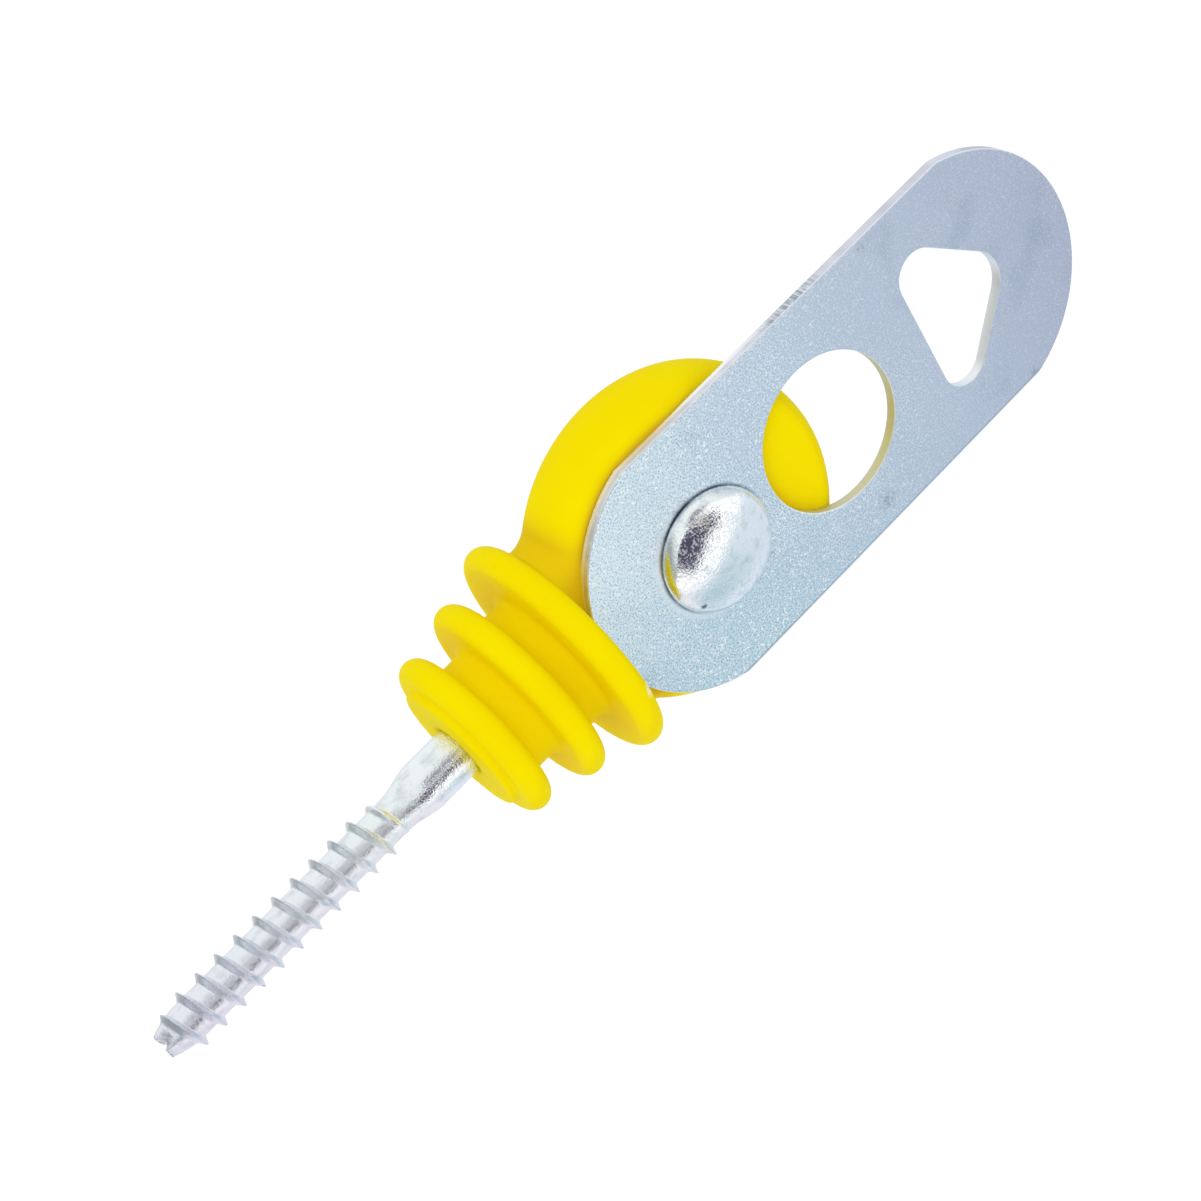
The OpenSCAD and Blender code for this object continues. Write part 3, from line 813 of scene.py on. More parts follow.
class Moulding:
    """Distance field of the insulator body, in millimetres, negative inside."""

    def __init__(self, sizes, screw, fasteners):
        s = {name: getattr(sizes, name) / MM for name in MouldingSettings.__annotations__}
        self.s = s
        self.bolt_x = SWIVEL.x / MM
        self.half_t = (-PLATE_HIGH.y - FACE_GAP) / MM
        self.bore_r = fasteners.bolt_d / MM / 2 + s["bolt_play"]
        self.corner_r = fasteners.bolt_d / MM / math.sqrt(2) + s["corner_play"]
        self.screw_r = screw.inner_d / MM / 2
        self.relief = screw.relief / MM
        self.relief_r = screw.shank_d / MM / 2 + self.relief
        self.anchor_top = SCREW_HIGH.x / MM
        self.anchor_low = self.anchor_top - screw.anchor_t / MM
        self.anchor_flats = screw.anchor_af / MM / 2
        # Middle of each flange along X
        first, step = s["seat_h"] + s["flange_t"] / 2, s["flange_t"] + s["flange_gap"]
        self.flange_x = {flange: first + i * step for i, flange in enumerate(FLANGES)}

    def trunk(self, x, radius):
        """Seat, flanges and trunk, turned about the screw's axis."""
        s = self.s
        half_flange = s["flange_t"] / 2
        flanges = []
        for flange, middle in self.flange_x.items():
            past = np.maximum(radius - s[flange] / 2 + half_flange, 0.0)
            flanges.append(np.hypot(x - middle, past) - half_flange)
        stretches = []
        for flange, size in zip(FLANGES, ("low_trunk_d", "high_trunk_d")):
            low = self.flange_x[flange] + half_flange
            stretches.append(rod(x, radius, low - OVERLAP, low + s["flange_gap"] + OVERLAP, s[size] / 2))
        field = joined(np.minimum.reduce(flanges), np.minimum(*stretches), s["root_r"])
        seat = rod(x, radius, 0.0, s["seat_h"] + OVERLAP, s["seat_d"] / 2, s["edge_r"])
        return joined(field, seat, s["seat_r"])

    def head(self, x, y, z, from_bolt):
        """Round head and the neck under it, with their oval edges."""
        s = self.s
        rim_w = (s["head_d"] - s["face_d"]) / 2
        head = oval_edge(from_bolt - s["face_d"] / 2, y, rim_w, self.half_t)
        neck = oval_edge(np.abs(z) - s["neck_w"] / 2 + rim_w, y, rim_w, self.half_t)
        foot = self.flange_x["top_flange_d"] + s["flange_t"] / 2 - NECK_OVERLAP
        neck = np.maximum(neck, np.maximum(foot - x, x - self.bolt_x))
        return joined(head, neck, s["neck_r"])

    def parting_line(self, field, x, y, z):
        """The field with its uneven seam and the fins of flash on it."""
        s = self.s
        uneven = 0.75 + 0.25 * np.sin(0.9 * x + 0.4 * z) * np.sin(0.53 * z - 0.31 * x + 1.0)
        field = field - s["seam_h"] * uneven * np.exp(-((y / s["seam_w"]) ** 2))
        for flange, side, along, inwards, half_l, half_h in FLASH:
            from_x = (x - self.flange_x[flange] - along) / half_l
            from_z = (z - side * (s[flange] / 2 - inwards)) / half_h
            fin = np.sqrt(from_x**2 + (y / s["fin_t"]) ** 2 + from_z**2) * s["fin_t"] - s["fin_t"]
            field = np.minimum(field, fin)
        return field

    def holes(self, x, y, z, radius, from_bolt):
        """Bore for the bolt, pocket for its square neck, and the room that the screw fills."""
        through = 2 * self.half_t
        bore = hole(from_bolt, self.bore_r, y, -through, through)
        pocket = hole(from_bolt, self.corner_r, y, -through, self.s["pocket_l"] - self.half_t)
        shank = hole(radius, self.screw_r, x, -OVERLAP, self.anchor_top)
        relief = hole(radius, self.relief_r, x, -OVERLAP, self.relief)
        from_flats = np.maximum(np.abs(y), np.abs(y) * 0.5 + np.abs(z) * math.sqrt(0.75))
        anchor = hole(from_flats, self.anchor_flats, x, self.anchor_low, self.anchor_top)
        return np.minimum.reduce([bore, pocket, shank, relief, anchor])

    def __call__(self, x, y, z):
        radius = np.hypot(y, z)
        from_bolt = np.hypot(x - self.bolt_x, z)
        field = joined(self.trunk(x, radius), self.head(x, y, z, from_bolt), self.s["neck_r"])
        field = self.parting_line(field, x, y, z)
        return np.maximum(field, -self.holes(x, y, z, radius, from_bolt))


def grid_lines(low, high, step, fine_half=0.0, fine_step=None):
    """Stations from low to high, closer together round zero where fine_step is given."""
    coarse = np.linspace(low, high, int(math.ceil((high - low) / step)) + 1)
    if fine_step is None:
        return coarse
    fine = np.arange(-fine_half, fine_half + fine_step / 2, fine_step)
    reach = fine_half + step / 2
    return np.concatenate([coarse[coarse < -reach], fine, coarse[coarse > reach]])


def cut_of(*cuts):
    """Index of a part of a grid, from (axis, first, last) for each axis that is cut."""
    index = [slice(None)] * 3
    for axis, first, last in cuts:
        index[axis] = slice(first, last)
    return tuple(index)


def surface_net(field, lines):
    """Closed quads where the field is zero, with one vertex in each grid cell that it crosses."""
    grids = np.meshgrid(*lines, indexing="ij")
    values = field(*grids)
    inside = values < 0
    cells = tuple(n - 1 for n in values.shape)
    totals = np.zeros(cells + (3,))
    counts = np.zeros(cells)
    crossings = []
    for axis in range(3):
        first, second = cut_of((axis, None, -1)), cut_of((axis, 1, None))
        crossed = inside[first] != inside[second]
        gap = np.where(crossed, values[first] - values[second], 1.0)
        t = np.where(crossed, values[first] / gap, 0.0)
        crossings.append((crossed, inside[first]))
        b, c = (a for a in range(3) if a != axis)
        for shift_b, shift_c in ((0, 0), (0, 1), (1, 0), (1, 1)):
            window = cut_of((b, shift_b, shift_b + cells[b]), (c, shift_c, shift_c + cells[c]))
            hit = crossed[window]
            counts += hit
            for a in range(3):
                start = grids[a][first][window]
                step = grids[a][second][window] - start
                totals[..., a] += hit * (start + t[window] * step)
    used = counts > 0
    number = np.full(cells, -1)
    number[used] = np.arange(used.sum())
    points = totals[used] / counts[used][:, None]
    faces = []
    for axis, (crossed, inside_first) in enumerate(crossings):
        b, c = (axis + 1) % 3, (axis + 2) % 3
        where = np.argwhere(crossed)
        corners = []
        for shift_b, shift_c in ((-1, -1), (0, -1), (0, 0), (-1, 0)):
            cell = where.copy()
            cell[:, b] += shift_b
            cell[:, c] += shift_c
            corners.append(number[tuple(cell.T)])
        quads = np.stack(corners, axis=1)
        outwards = inside_first[tuple(where.T)]
        faces.append(np.where(outwards[:, None], quads, quads[:, ::-1]))
    return points, np.concatenate(faces)


def slope_of(field, points, probe=0.02):
    """Slope of a field at each point, from two probes along each axis."""
    slope = np.empty_like(points)
    for a in range(3):
        aside = np.zeros(3)
        aside[a] = probe
        slope[:, a] = (field(*(points + aside).T) - field(*(points - aside).T)) / (2 * probe)
    return slope


def settle(points, faces, field, rounds=3, reach=0.15, least_slope=0.5):
    """Evens out a net's vertices and draws them onto the field's zero surface."""
    count = len(points)
    ends = np.concatenate([faces[:, [i, (i + 1) % 4]] for i in range(4)])
    neighbours = np.bincount(ends[:, 0], minlength=count)
    for turn_number in range(rounds + 2):
        if turn_number < rounds:
            middle = [np.bincount(ends[:, 0], points[ends[:, 1], a], count) / neighbours for a in range(3)]
            points = 0.5 * points + 0.5 * np.stack(middle, axis=1)
        for _ in range(2):
            slope = slope_of(field, points)
            steepness = np.maximum((slope**2).sum(axis=1), least_slope**2)
            move = np.clip(field(*points.T) / steepness, -reach, reach)
            points = points - move[:, None] * slope
    return points


# ---------------------------------------------------------------------------------------------
# Operators, one for each piece, each after the functions that only it needs
# ---------------------------------------------------------------------------------------------


class INSULATOR_OT_moulded_body(Operator):
    """Builds the yellow moulded body with its seam and its fillets"""

    bl_idname = "insulator.moulded_body"
    bl_label = "Moulded body"

    def execute(self, context):
        part = context.scene.insulator
        field = Moulding(part.moulding, part.screw, part.fasteners)
        step = part.moulding.spacing / MM
        margin = 3 * step
        low, high = BODY_LOW / MM, BODY_HIGH / MM
        # The mesh is finer round the seam
        lines = [
            grid_lines(low.x - margin, high.x + margin, step),
            grid_lines(low.y - margin, high.y + margin, step, fine_half=0.32, fine_step=0.08),
            grid_lines(low.z - margin, high.z + margin, step),
        ]
        points, faces = surface_net(field, lines)
        points = settle(points, faces, field)
        # A chafed nick on the top flange's edge, in front
        nick = Vector((field.flange_x["top_flange_d"] * MM + 1.7 * MM, 0.0, -1.5 * MM))
        nick.y = -math.sqrt((part.moulding.top_flange_d / 2 - 0.8 * MM) ** 2 - nick.z**2)
        head_start = 2 * SWIVEL.x - BODY_HIGH.x
        material = moulded_plastic(part.finishes, head_start, ((nick, 1.3 * MM),))
        piece = make_mesh("moulded_body", points * MM, faces, material)
        shade(piece, sharp_angle=60)
        hand_over(piece, "insulator_body", "insulator")
        return {"FINISHED"}


def screw_stations(s, top, tip, start):
    """Stations of the lag screw without its thread, from its anchor's top down to its tip."""
    anchor_low = top - s.anchor_t
    stations = [(top, 0)]
    stations += [(z, s.anchor_af / 2, 6, math.inf) for z in (top, anchor_low)]
    stations += [(anchor_low, s.inner_d / 2), (0.0, s.inner_d / 2), (0.0, s.shank_d / 2)]
    taper_steps = 24
    drop = (s.shank_d - s.core_d) / 2
    for i in range(taper_steps + 1):
        t = i / taper_steps
        ease = t * t * (3 - 2 * t)
        stations.append((-s.shank_l - s.taper_l * t, s.shank_d / 2 - drop * ease))
    steps = int((start - tip) / s.ring_step)
    for i in range(1, steps + 1):
        z = start + (tip - start) * i / steps
        into_point = max(0.0, (tip + s.point_l - z) / s.point_l)
        stations.append((z, s.core_d / 2 + (s.tip_d - s.core_d) / 2 * into_point**1.5))
    return stations + [(tip, s.tip_d / 2 * part_way) for part_way in (0.8, 0.6, 0.4, 0.2, 0)]


def break_tip(piece, tip, s):
    """Leaves the tip ragged, with a notch across it."""
    radius = s.tip_d / 2
    for vertex in piece.data.vertices:
        x, y, _ = vertex.co / radius
        into_break = 1 - (vertex.co.z - tip) / s.break_l
        if into_break >= 0:
            notch = 0.85 * math.exp(-(((0.8 * x + 0.6 * y) / 0.3) ** 2))
            ragged = 0.12 * math.sin(9 * x + 4 * y) + 0.1 * math.sin(17 * y - 5 * x)
            vertex.co.z += s.break_h * into_break * (notch + ragged + 0.12)


class INSULATOR_OT_lag_screw(Operator):
    """Builds the lag screw: anchor, shank, taper, coarse thread and broken-off tip"""

    bl_idname = "insulator.lag_screw"
    bl_label = "Lag screw"

    def execute(self, context):
        part = context.scene.insulator
        s = part.screw
        top, tip = SCREW_HIGH.x, SCREW_LOW.x
        start = -s.shank_l - s.taper_l
        surface = {"dents": 0.034, "mottle": 0.045, "mottle_w": 0.24, "rough": 0.1, "frost": 0.1}
        material = bright_zinc("drawn_zinc", part.finishes, drawn_out=0.6, **surface)
        piece = turned("lag_screw", screw_stations(s, top, tip, start), material)
        thread = {
            "Low": tip + 0.3 * MM,
            "High": start + 0.3 * MM,
            "Pitch": s.pitch,
            "Height": (s.thread_d - s.core_d) / 2,
            "Phase": start / s.pitch - s.first_crest,
            "Crest": 0.025,
            "Root": 0.27,
            "Hollow": 1.5,
            "Lean": 1.7,
            "Fade low": s.point_l,
            "Fade high": 1.1 * s.pitch,
            "Wear": 0.06 * MM,
        }
        cut_thread(piece, material, thread)
        break_tip(piece, tip, s)
        set_in_place(piece, ALONG_SCREW, 50, "lag_screw", "insulator")
        return {"FINISHED"}


def plate_outline(s, steps=56):
    """The plate's outer loop, from the bolt: two round ends cut off at the plate's width."""
    half_w = (PLATE_HIGH.z - PLATE_LOW.z) / 2
    far_x = PLATE_HIGH.x - SWIVEL.x - s.end_r
    corner = math.asin(half_w / s.end_r)
    far_end = arc(far_x, 0.0, s.end_r, -corner, corner, steps)
    return far_end + arc(0.0, 0.0, s.end_r, math.pi - corner, math.pi + corner, steps)


def round_eye(s, steps=128):
    """Loop of the round eye."""
    return arc(s.eye_x, 0.0, s.eye_d / 2, 0.0, 2 * math.pi, steps)[:-1]


def wedge_eye(s, steps=20):
    """Loop of the three-cornered eye, whose right-angled tip points away from the bolt."""
    corner_x = s.wedge_x + s.wedge_r
    corner_y = s.wedge_h - s.wedge_r * (1 + math.sqrt(2))
    tip_x = s.wedge_x + s.wedge_h - s.wedge_tip_r * math.sqrt(2)
    eighth = math.pi / 4
    lower = arc(corner_x, -corner_y, s.wedge_r, 4 * eighth, 7 * eighth, steps)
    tip = arc(tip_x, 0.0, s.wedge_tip_r, -eighth, eighth, steps)
    return lower + tip + arc(corner_x, corner_y, s.wedge_r, eighth, 4 * eighth, steps)


def square_hole(s):
    """Loop of the square hole for the bolt's neck."""
    half = s.square_w / 2
    return [(half, -half), (half, half), (-half, half), (-half, -half)]


def outward_normals(loop, sign):
    """Mean normals at a loop's points. The sign is 1 for the outer loop and -1 for a hole."""
    normals = []
    for i, here in enumerate(loop):
        before, after = loop[i - 1], loop[(i + 1) % len(loop)]
        a = Vector((here[1] - before[1], before[0] - here[0])).normalized()
        b = Vector((after[1] - here[1], here[0] - after[0])).normalized()
        mean = (a + b).normalized()
        mean *= sign / max(mean.dot(a), 0.5)
        normals.append((mean.x, mean.y))
    return normals


class INSULATOR_OT_hook_plate(Operator):
    """Builds the hook plate: sheared outline, round eye, three-cornered eye and square hole"""

    bl_idname = "insulator.hook_plate"
    bl_label = "Hook plate"

    def execute(self, context):
        part = context.scene.insulator
        s = part.plate
        front, back = PLATE_LOW.y, PLATE_HIGH.y
        # Section of the sheared wall, as (distance in from the loop, place along Y)
        wall = round_corner(s.roll_in, front, 0.0, front + s.roll_down, 6, True)
        wall += round_corner(0.0, back - s.burr_r, s.burr_r, back, 3, False)
        points, faces = [], []
        caps = ([], [])
        for number, loop in enumerate((plate_outline(s), round_eye(s), wedge_eye(s), square_hole(s))):
            normals = outward_normals(loop, -1.0 if number else 1.0)
            rings = []
            for inset, y in wall:
                rings.append(list(range(len(points), len(points) + len(loop))))
                for (x, z), (to_x, to_z) in zip(loop, normals):
                    points.append((SWIVEL.x + x - inset * to_x, y, z - inset * to_z))
            for low, high in zip(rings, rings[1:]):
                for k in range(len(loop)):
                    j = (k + 1) % len(loop)
                    faces.append((low[k], low[j], high[j], high[k]))
            for cap, ring in zip(caps, (rings[0], rings[-1])):
                cap.append(ring)
        flat_from = len(faces)
        for cap in caps:
            order = [index for ring in cap for index in ring]
            outlines = [[Vector((points[i][0], points[i][2], 0)) for i in ring] for ring in cap]
            faces += [tuple(order[i] for i in triangle) for triangle in tessellate_polygon(outlines)]
        piece = make_mesh("hook_plate", points, faces, plated_sheet(part.finishes, s.roll_down))
        shade(piece)
        for polygon in piece.data.polygons[flat_from:]:
            polygon.use_smooth = False
        hand_over(piece, "hook_plate", "swivel")
        return {"FINISHED"}


def dome_stations(s, top, seat, head_r):
    """Stations of the bolt head's dome and shoulder, from the crown down to the rim."""
    inner_r = head_r - s.shoulder_w
    shoulder_top = seat - s.rim_h - s.shoulder_h
    sag = shoulder_top - top
    ball_r = (inner_r**2 + sag**2) / (2 * sag)
    dome_steps, shoulder_steps = 40, 12
    stations = [(top, 0)]
    for i in range(1, dome_steps + 1):
        r = inner_r * i / dome_steps
        stations.append((top + ball_r - math.sqrt(ball_r**2 - r**2), r))
    for i in range(1, shoulder_steps + 1):
        # A curve from the dome's slope to the upright rim
        t = i / shoulder_steps
        out = 1.72 * t * (1 - t) + t * t
        down = t * (1 - t) + t * t
        stations.append((shoulder_top + s.shoulder_h * down, inner_r + s.shoulder_w * out))
    return stations


def shank_stations(s, seat, end):
    """Stations of the bolt's square neck, its plain shank and its core under the thread."""
    bolt_r = s.bolt_d / 2
    square_end = seat + s.square_l
    thread_start = end - s.thread_l
    stations = [(z, bolt_r, 4, math.inf) for z in (seat, square_end)]
    stations += [(square_end, bolt_r), (thread_start, bolt_r)]
    step_down = 0.02 * MM
    end_chamfer = 0.2 * MM
    steps = int(s.thread_l / s.ring_step)
    for i in range(steps + 1):
        z = thread_start + step_down + (s.thread_l - step_down) * i / steps
        stations.append((z, bolt_r - s.thread_h - max(0.0, z - (end - end_chamfer))))
    return stations + [(end, 0)]


class INSULATOR_OT_carriage_bolt(Operator):
    """Builds the carriage bolt: domed head, square neck and rolled thread"""

    bl_idname = "insulator.carriage_bolt"
    bl_label = "Carriage bolt"

    def execute(self, context):
        part = context.scene.insulator
        s = part.fasteners
        # A small dent on the dome, just inside the shoulder
        scar = (SWIVEL.x - 5.73 * MM, PLATE_LOW.y - 1.75 * MM, -3.45 * MM)
        material = bright_zinc("bright_zinc", part.finishes, scars=(scar,))
        head_r = (BOLT_HIGH.x - BOLT_LOW.x) / 2
        top, seat, end = BOLT_LOW.y, PLATE_LOW.y, BOLT_HIGH.y
        stations = dome_stations(s, top, seat, head_r)
        stations += turned_corner(head_r, seat - s.undercut, head_r - s.undercut, seat, 5, False)
        stations += shank_stations(s, seat, end)
        piece = turned("carriage_bolt", stations, material, segments=72)
        thread = {
            "Low": end - s.thread_l,
            "High": end - 0.1 * MM,
            "Pitch": s.thread_pitch,
            "Height": s.thread_h,
            "Phase": 0.0,
            "Crest": 0.06,
            "Root": 0.44,
            "Hollow": 1.0,
            "Lean": 1.0,
            "Fade low": 0.3 * MM,
            "Fade high": s.thread_end,
            "Wear": 0.02 * MM,
        }
        cut_thread(piece, material, thread)
        set_in_place(piece, ALONG_BOLT, 40, "carriage_bolt", "swivel")
        return {"FINISHED"}


class INSULATOR_OT_washer(Operator):
    """Builds the flat washer behind the head"""

    bl_idname = "insulator.washer"
    bl_label = "Washer"

    def execute(self, context):
        part = context.scene.insulator
        s = part.fasteners
        outer = (WASHER_HIGH.x - WASHER_LOW.x) / 2
        inner = s.bolt_d / 2 + s.washer_play
        low, high = WASHER_LOW.y, WASHER_HIGH.y
        e = s.edge_r
        stations = turned_corner(outer - e, low, outer, low + e, 4, True)
        stations += turned_corner(outer, high - e, outer - e, high, 4, False)
        stations += turned_corner(inner + e, high, inner, high - e, 4, True)
        stations += turned_corner(inner, low + e, inner + e, low, 4, False)
        piece = turned("washer", stations, bright_zinc("washer_zinc", part.finishes), segments=128, ring=True)
        set_in_place(piece, ALONG_BOLT, 50, "washer", "swivel")
        return {"FINISHED"}


class INSULATOR_OT_lock_nut(Operator):
    """Builds the lock nut: chamfered hexagon and a collar rolled over its nylon ring"""

    bl_idname = "insulator.lock_nut"
    bl_label = "Lock nut"

    def execute(self, context):
        part = context.scene.insulator
        s = part.fasteners
        low, high, hex_top = NUT_LOW.y, NUT_HIGH.y, RING_LOW.y
        flats = (NUT_HIGH.z - NUT_LOW.z) / 2
        to_corners = flats / math.cos(math.pi / 6) - flats
        bevel = to_corners * math.tan(math.radians(30))
        inner = s.bolt_d / 2 + s.nut_play
        collar = s.nut_collar_d / 2
        pocket = collar - s.collar_wall
        lip_in = pocket - s.collar_wall
        e, roll = s.edge_r, 3 * s.edge_r
        ledge = 0.1 * MM
        steps = 6
        # The hexagon's corners are bevelled at its bottom and at its top
        rise = [i / steps for i in range(steps + 1)]
        stations = [(low, flats - ledge)]
        stations += [(low + bevel * t, flats, 6, flats + to_corners * t) for t in rise]
        stations += [(hex_top - bevel * t, flats, 6, flats + to_corners * t) for t in reversed(rise)]
        stations += [(hex_top, collar + ledge), (hex_top + ledge, collar), (high - roll, collar)]
        stations += turned_corner(collar, high - roll, collar - roll, high, 8, False)
        stations += turned_corner(lip_in + e, high, lip_in, high - e, 4, True)
        stations += [(RING_HIGH.y, lip_in), (RING_HIGH.y, pocket), (RING_LOW.y, pocket)]
        stations += [(RING_LOW.y, inner), (low + 2 * e, inner), (low, inner + 2 * e)]
        piece = turned("lock_nut", stations, bright_zinc("nut_zinc", part.finishes), segments=144, ring=True)
        set_in_place(piece, ALONG_BOLT, 28, "lock_nut", "swivel")
        return {"FINISHED"}


class INSULATOR_OT_nut_ring(Operator):
    """Builds the nylon ring in the lock nut's collar"""

    bl_idname = "insulator.nut_ring"
    bl_label = "Nylon ring"

    def execute(self, context):
        part = context.scene.insulator
        s = part.fasteners
        outer = s.nut_collar_d / 2 - s.collar_wall
        inner = s.bolt_d / 2 + s.nut_play
        low, high = RING_LOW.y, RING_HIGH.y
        e = 2 * s.edge_r
        stations = [(low, outer), (high, outer)]
        stations += turned_corner(inner + e, high, inner, high - e, 6, True)
        stations += [(low, inner)]
        piece = turned("nut_ring", stations, dull_nylon(part.finishes), ring=True)
        set_in_place(piece, ALONG_BOLT, 40, "nut_ring", "swivel")
        return {"FINISHED"}


# ---------------------------------------------------------------------------------------------
# Stage
# ---------------------------------------------------------------------------------------------

WHITE = (1.0, 1.0, 1.0, 1.0)
# What polished metal sees in the room: the room's tone, then soft cards in it, each with its
# direction, the half angles of its core and of its rim, and its colour
ROOM_TONE = (0.93, 0.97, 0.97)
ROOM_CARDS = (
    ((0.1, -0.98, -0.17), 26.0, 48.0, (1.4, 1.4, 1.4)),
    ((-1.0, 0.1, 0.1), 35.0, 62.0, (0.33, 0.38, 0.38)),
    ((1.0, 0.1, 0.2), 15.0, 45.0, (0.66, 0.73, 0.79)),
    ((-0.07, -0.99, 0.11), 12.0, 16.0, (0.08, 0.07, 0.12)),
    ((0.22, -0.97, 0.10), 9.0, 13.0, (0.08, 0.07, 0.12)),
    ((0.38, -0.92, 0.06), 6.0, 10.0, (0.08, 0.07, 0.12)),
    ((-0.30, -0.95, 0.10), 9.0, 14.0, (0.08, 0.07, 0.12)),
    ((0.24, -0.94, 0.22), 3.0, 7.0, (0.50, 0.47, 0.38)),
    ((0.19, -0.77, 0.61), 8.0, 21.0, (0.28, 0.28, 0.32)),
)
# How polished metal sees the floor: pale under the part, blue before the plate and past its end, white
# beyond, grey beyond the screw's tip, duller under the bolt's head, and dark in one spot. The places of
# these shades are set for a floor at this depth, and keep their direction from the part at any other
SHADES_DEPTH = 60 * MM
FLOOR_UNDER = (0.76, 0.86, 0.95)
FLOOR_NEAR = (0.60, 0.735, 0.80)
FLOOR_PAST_PLATE = (0.74, 0.83, 0.90)
FLOOR_UNDER_HEAD = (0.48, 0.64, 0.72)
FLOOR_SCREW = (0.90, 0.89, 0.94)
FLOOR_BEYOND_TIP = (0.33, 0.38, 0.38)
FLOOR_FAR = (1.2, 1.2, 1.2)
FLOOR_DARK = (0.10, 0.09, 0.15)
# Half the floor's width, and the key light's place and diameter, in metres
FLOOR_HALF = 4.0
KEY_PLACE = Vector((-0.35, -0.55, 0.75))
KEY_SIZE = 0.5


def set_camera(context, s):
    """Camera at its azimuth, elevation and roll round the aim."""
    camera = link_object("camera", bpy.data.cameras.new("camera"))
    camera.data.lens = s.lens
    camera.data.sensor_width = 36.0
    camera.data.clip_start = 0.01
    camera.data.clip_end = 20.0
    flat = math.cos(s.elevation)
    back = Vector((math.sin(s.azimuth) * flat, -math.cos(s.azimuth) * flat, math.sin(s.elevation)))
    turned_to = (-back).to_track_quat("-Z", "Y").to_matrix() @ Matrix.Rotation(s.roll, 3, "Z")
    camera.matrix_world = Matrix.Translation(Vector(s.aim) + back * s.distance) @ turned_to.to_4x4()
    context.scene.camera = camera


def shader_mix(tree, factor, first, second):
    """Mix of two shaders."""
    return add_node(tree, "ShaderNodeMixShader", {0: factor, 1: first, 2: second}).outputs[0]


def shining(tree, kind, tone, strength=1.0):
    """Light of a tone and strength, from a surface or from the world."""
    return add_node(tree, kind, {"Color": tone, "Strength": strength}).outputs[0]


def sum_of_axes(tree, axes, of_x, of_y):
    """A share of X plus a share of Y."""
    return calc(tree, "ADD", times(tree, axes["X"], of_x), times(tree, axes["Y"], of_y))


def mirrored_floor(tree, floor_drop):
    """Shades of the floor that polished metal sees."""
    held = SHADES_DEPTH / floor_drop
    place = scaled(tree, add_node(tree, "ShaderNodeTexCoord").outputs["Object"], (held, held, held))
    axes = split(tree, place)

    def shade_from(value, start, end):
        """1 where the value is past the end, in millimetres, falling to 0 at the start."""
        return stretch(tree, value, start * MM, end * MM, smooth=True)

    slant = calc(tree, "ADD", axes["Y"], stretch(tree, axes["X"], 0.0, 130 * MM, 0.0, 130 * MM))
    dark_right = shade_from(sum_of_axes(tree, axes, 1.0, 0.155), -30, -62)
    dark_left = shade_from(sum_of_axes(tree, axes, -1.3, 1.0), -88, -120)
    layers = (
        (shade_from(axes["Y"], -20, -34), FLOOR_NEAR),
        (shade_from(axes["X"], 45, 95), FLOOR_PAST_PLATE),
        (shade_from(axes["X"], 20, -10), FLOOR_SCREW),
        (shade_from(slant, -56, -88), FLOOR_FAR),
        (shade_from(axes["X"], -110, -200), FLOOR_BEYOND_TIP),
        (near(tree, place, (24 * MM, -42 * MM, -SHADES_DEPTH), 8 * MM, 26 * MM), FLOOR_UNDER_HEAD),
        (times(tree, dark_right, dark_left), FLOOR_DARK),
    )
    return layered(tree, FLOOR_UNDER, layers)


def lay_floor(s):
    """Large pale floor. The camera sees it white, apart from the shadow, and polished metal its shades."""
    sides = ((-1, -1), (1, -1), (1, 1), (-1, 1))
    corners = [(x * FLOOR_HALF, y * FLOOR_HALF, -s.floor_drop) for x, y in sides]
    mesh = bpy.data.meshes.new("floor")
    mesh.from_pydata(corners, [], [(0, 1, 2, 3)])
    floor = link_object("floor", mesh)
    material = bpy.data.materials.new("pale_floor")
    tree = emptied_tree(material)
    path = add_node(tree, "ShaderNodeLightPath").outputs
    white = (s.white, s.white, s.white)
    tone = blend_colours(tree, path["Is Glossy Ray"], white, mirrored_floor(tree, s.floor_drop))
    paint = add_node(tree, "ShaderNodeBsdfDiffuse", {"Color": (0.9, 0.9, 0.9, 1.0)}).outputs[0]
    bounce = shining(tree, "ShaderNodeEmission", WHITE, s.bounce)
    lit = shader_mix(tree, path["Is Diffuse Ray"], paint, bounce)
    glow = shining(tree, "ShaderNodeEmission", tone)
    straight = calc(tree, "MAXIMUM", path["Is Camera Ray"], path["Is Transmission Ray"])
    factor = calc(tree, "MAXIMUM", times(tree, straight, 1.0 - s.shadow), path["Is Glossy Ray"])
    add_node(tree, "ShaderNodeOutputMaterial", {"Surface": shader_mix(tree, factor, lit, glow)})
    mesh.materials.append(material)


def whiten_room(context, s):
    """White world. Polished metal also sees a few soft shades in it."""
    world = bpy.data.worlds.new("white_room")
    tree = emptied_tree(world)
    place = add_node(tree, "ShaderNodeTexCoord").outputs["Generated"]
    layers = []
    for direction, core, rim, tone in ROOM_CARDS:
        ends = {0: place, 1: Vector(direction).normalized()}
        toward = add_node(tree, "ShaderNodeVectorMath", ends, operation="DOT_PRODUCT").outputs["Value"]
        low, high = math.cos(math.radians(rim)), math.cos(math.radians(core))
        layers.append((stretch(tree, toward, low, high, smooth=True), tone))
    path = add_node(tree, "ShaderNodeLightPath").outputs
    seen = shining(tree, "ShaderNodeBackground", WHITE)
    soft = shining(tree, "ShaderNodeBackground", WHITE, s.ambient)
    mirrored = shining(tree, "ShaderNodeBackground", layered(tree, ROOM_TONE, layers))
    straight = calc(tree, "MAXIMUM", path["Is Camera Ray"], path["Is Transmission Ray"])
    first = shader_mix(tree, path["Is Glossy Ray"], soft, mirrored)
    add_node(tree, "ShaderNodeOutputWorld", {"Surface": shader_mix(tree, straight, first, seen)})
    context.scene.world = world


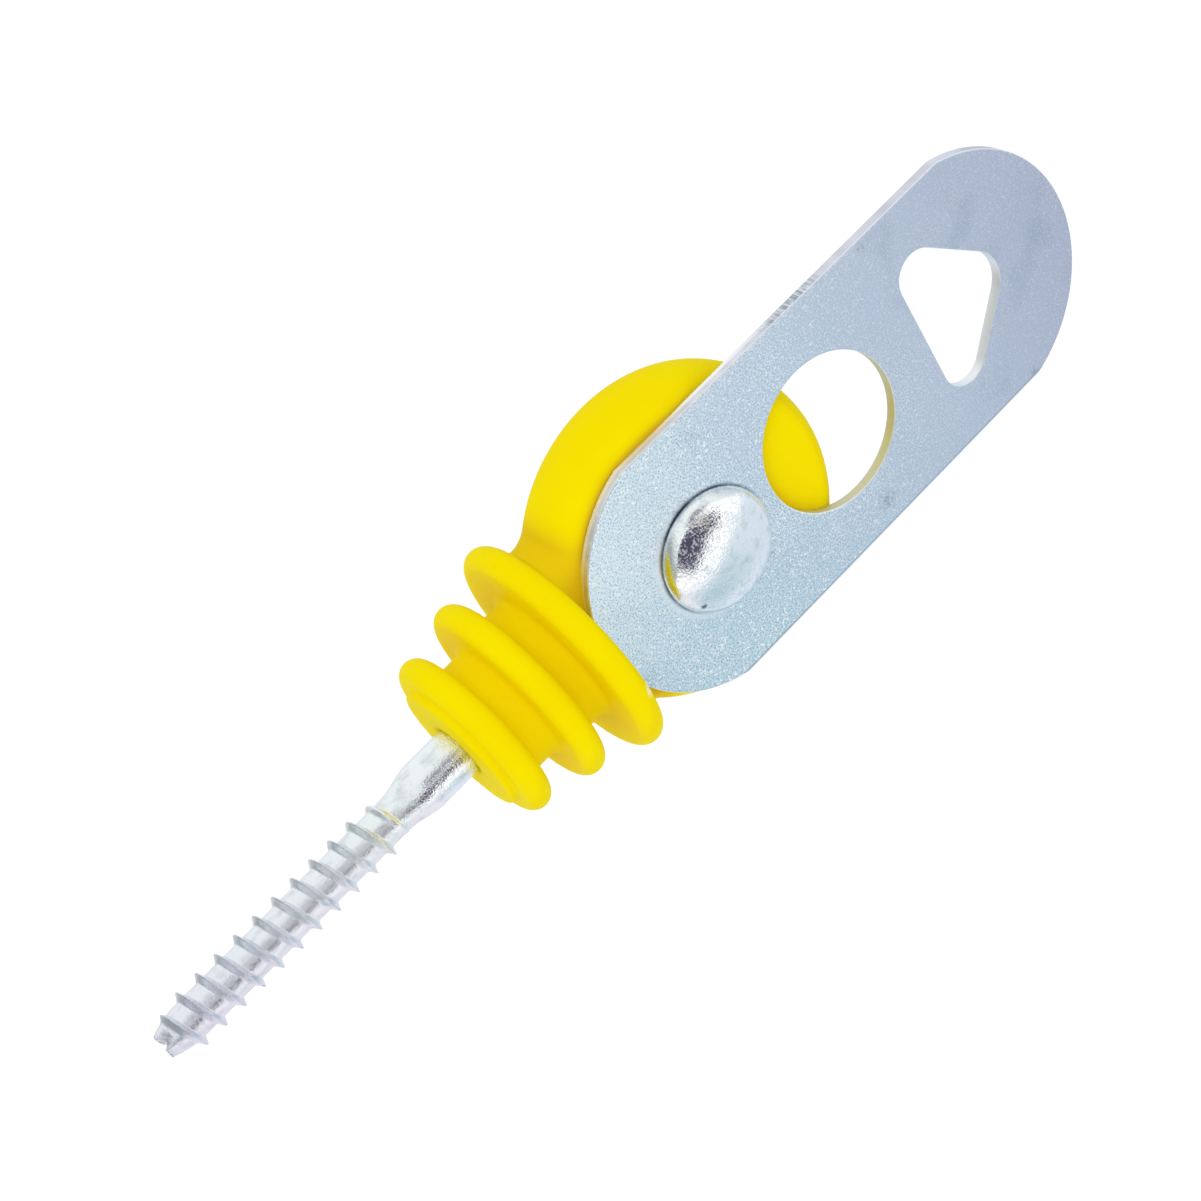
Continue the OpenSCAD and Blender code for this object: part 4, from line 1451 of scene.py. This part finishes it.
def hang_lamp(s):
    """One large soft key light, in front of the part and over it."""
    light = bpy.data.lights.new("key", "AREA")
    light.shape = "DISK"
    light.size = KEY_SIZE
    light.energy = s.key_power
    lamp = link_object("key", light)
    towards = (Vector(s.aim) - KEY_PLACE).to_track_quat("-Z", "Y")
    lamp.matrix_world = Matrix.Translation(KEY_PLACE) @ towards.to_matrix().to_4x4()
    lamp.visible_glossy = False


class INSULATOR_OT_stage(Operator):
    """Sets up the camera, the pale floor, the lights and the white room"""

    bl_idname = "insulator.stage"
    bl_label = "Stage"

    def execute(self, context):
        settings = context.scene.insulator.stage
        set_camera(context, settings)
        lay_floor(settings)
        whiten_room(context, settings)
        hang_lamp(settings)
        context.scene.view_settings.view_transform = "Standard"
        return {"FINISHED"}


# ---------------------------------------------------------------------------------------------
# Panel and registration
# ---------------------------------------------------------------------------------------------

PIECES = (
    INSULATOR_OT_moulded_body,
    INSULATOR_OT_lag_screw,
    INSULATOR_OT_hook_plate,
    INSULATOR_OT_carriage_bolt,
    INSULATOR_OT_washer,
    INSULATOR_OT_lock_nut,
    INSULATOR_OT_nut_ring,
    INSULATOR_OT_stage,
)


class INSULATOR_PT_pieces(Panel):
    """Lists the pieces and their sizes"""

    bl_idname = "INSULATOR_PT_pieces"
    bl_label = "Fence insulator"
    bl_space_type = "VIEW_3D"
    bl_region_type = "UI"
    bl_category = "Insulator"

    def draw(self, context):
        for piece in PIECES:
            self.layout.operator(piece.bl_idname)
        part = context.scene.insulator
        for group in (part.moulding, part.screw, part.plate, part.fasteners, part.finishes, part.stage):
            box = self.layout.box()
            for name in group.__annotations__:
                box.prop(group, name)


SETTINGS = (
    MouldingSettings,
    LagScrewSettings,
    HookPlateSettings,
    FastenerSettings,
    FinishSettings,
    StageSettings,
    InsulatorSettings,
)


def register():
    for item in (*SETTINGS, *PIECES, INSULATOR_PT_pieces):
        bpy.utils.register_class(item)
    bpy.types.Scene.insulator = PointerProperty(type=InsulatorSettings)


def unregister():
    del bpy.types.Scene.insulator
    for item in reversed((*SETTINGS, *PIECES, INSULATOR_PT_pieces)):
        bpy.utils.unregister_class(item)


def main():
    """Builds every piece and the stage."""
    register()
    for piece in PIECES:
        family, name = piece.bl_idname.split(".")
        getattr(getattr(bpy.ops, family), name)()


if __name__ == "__main__":
    main()
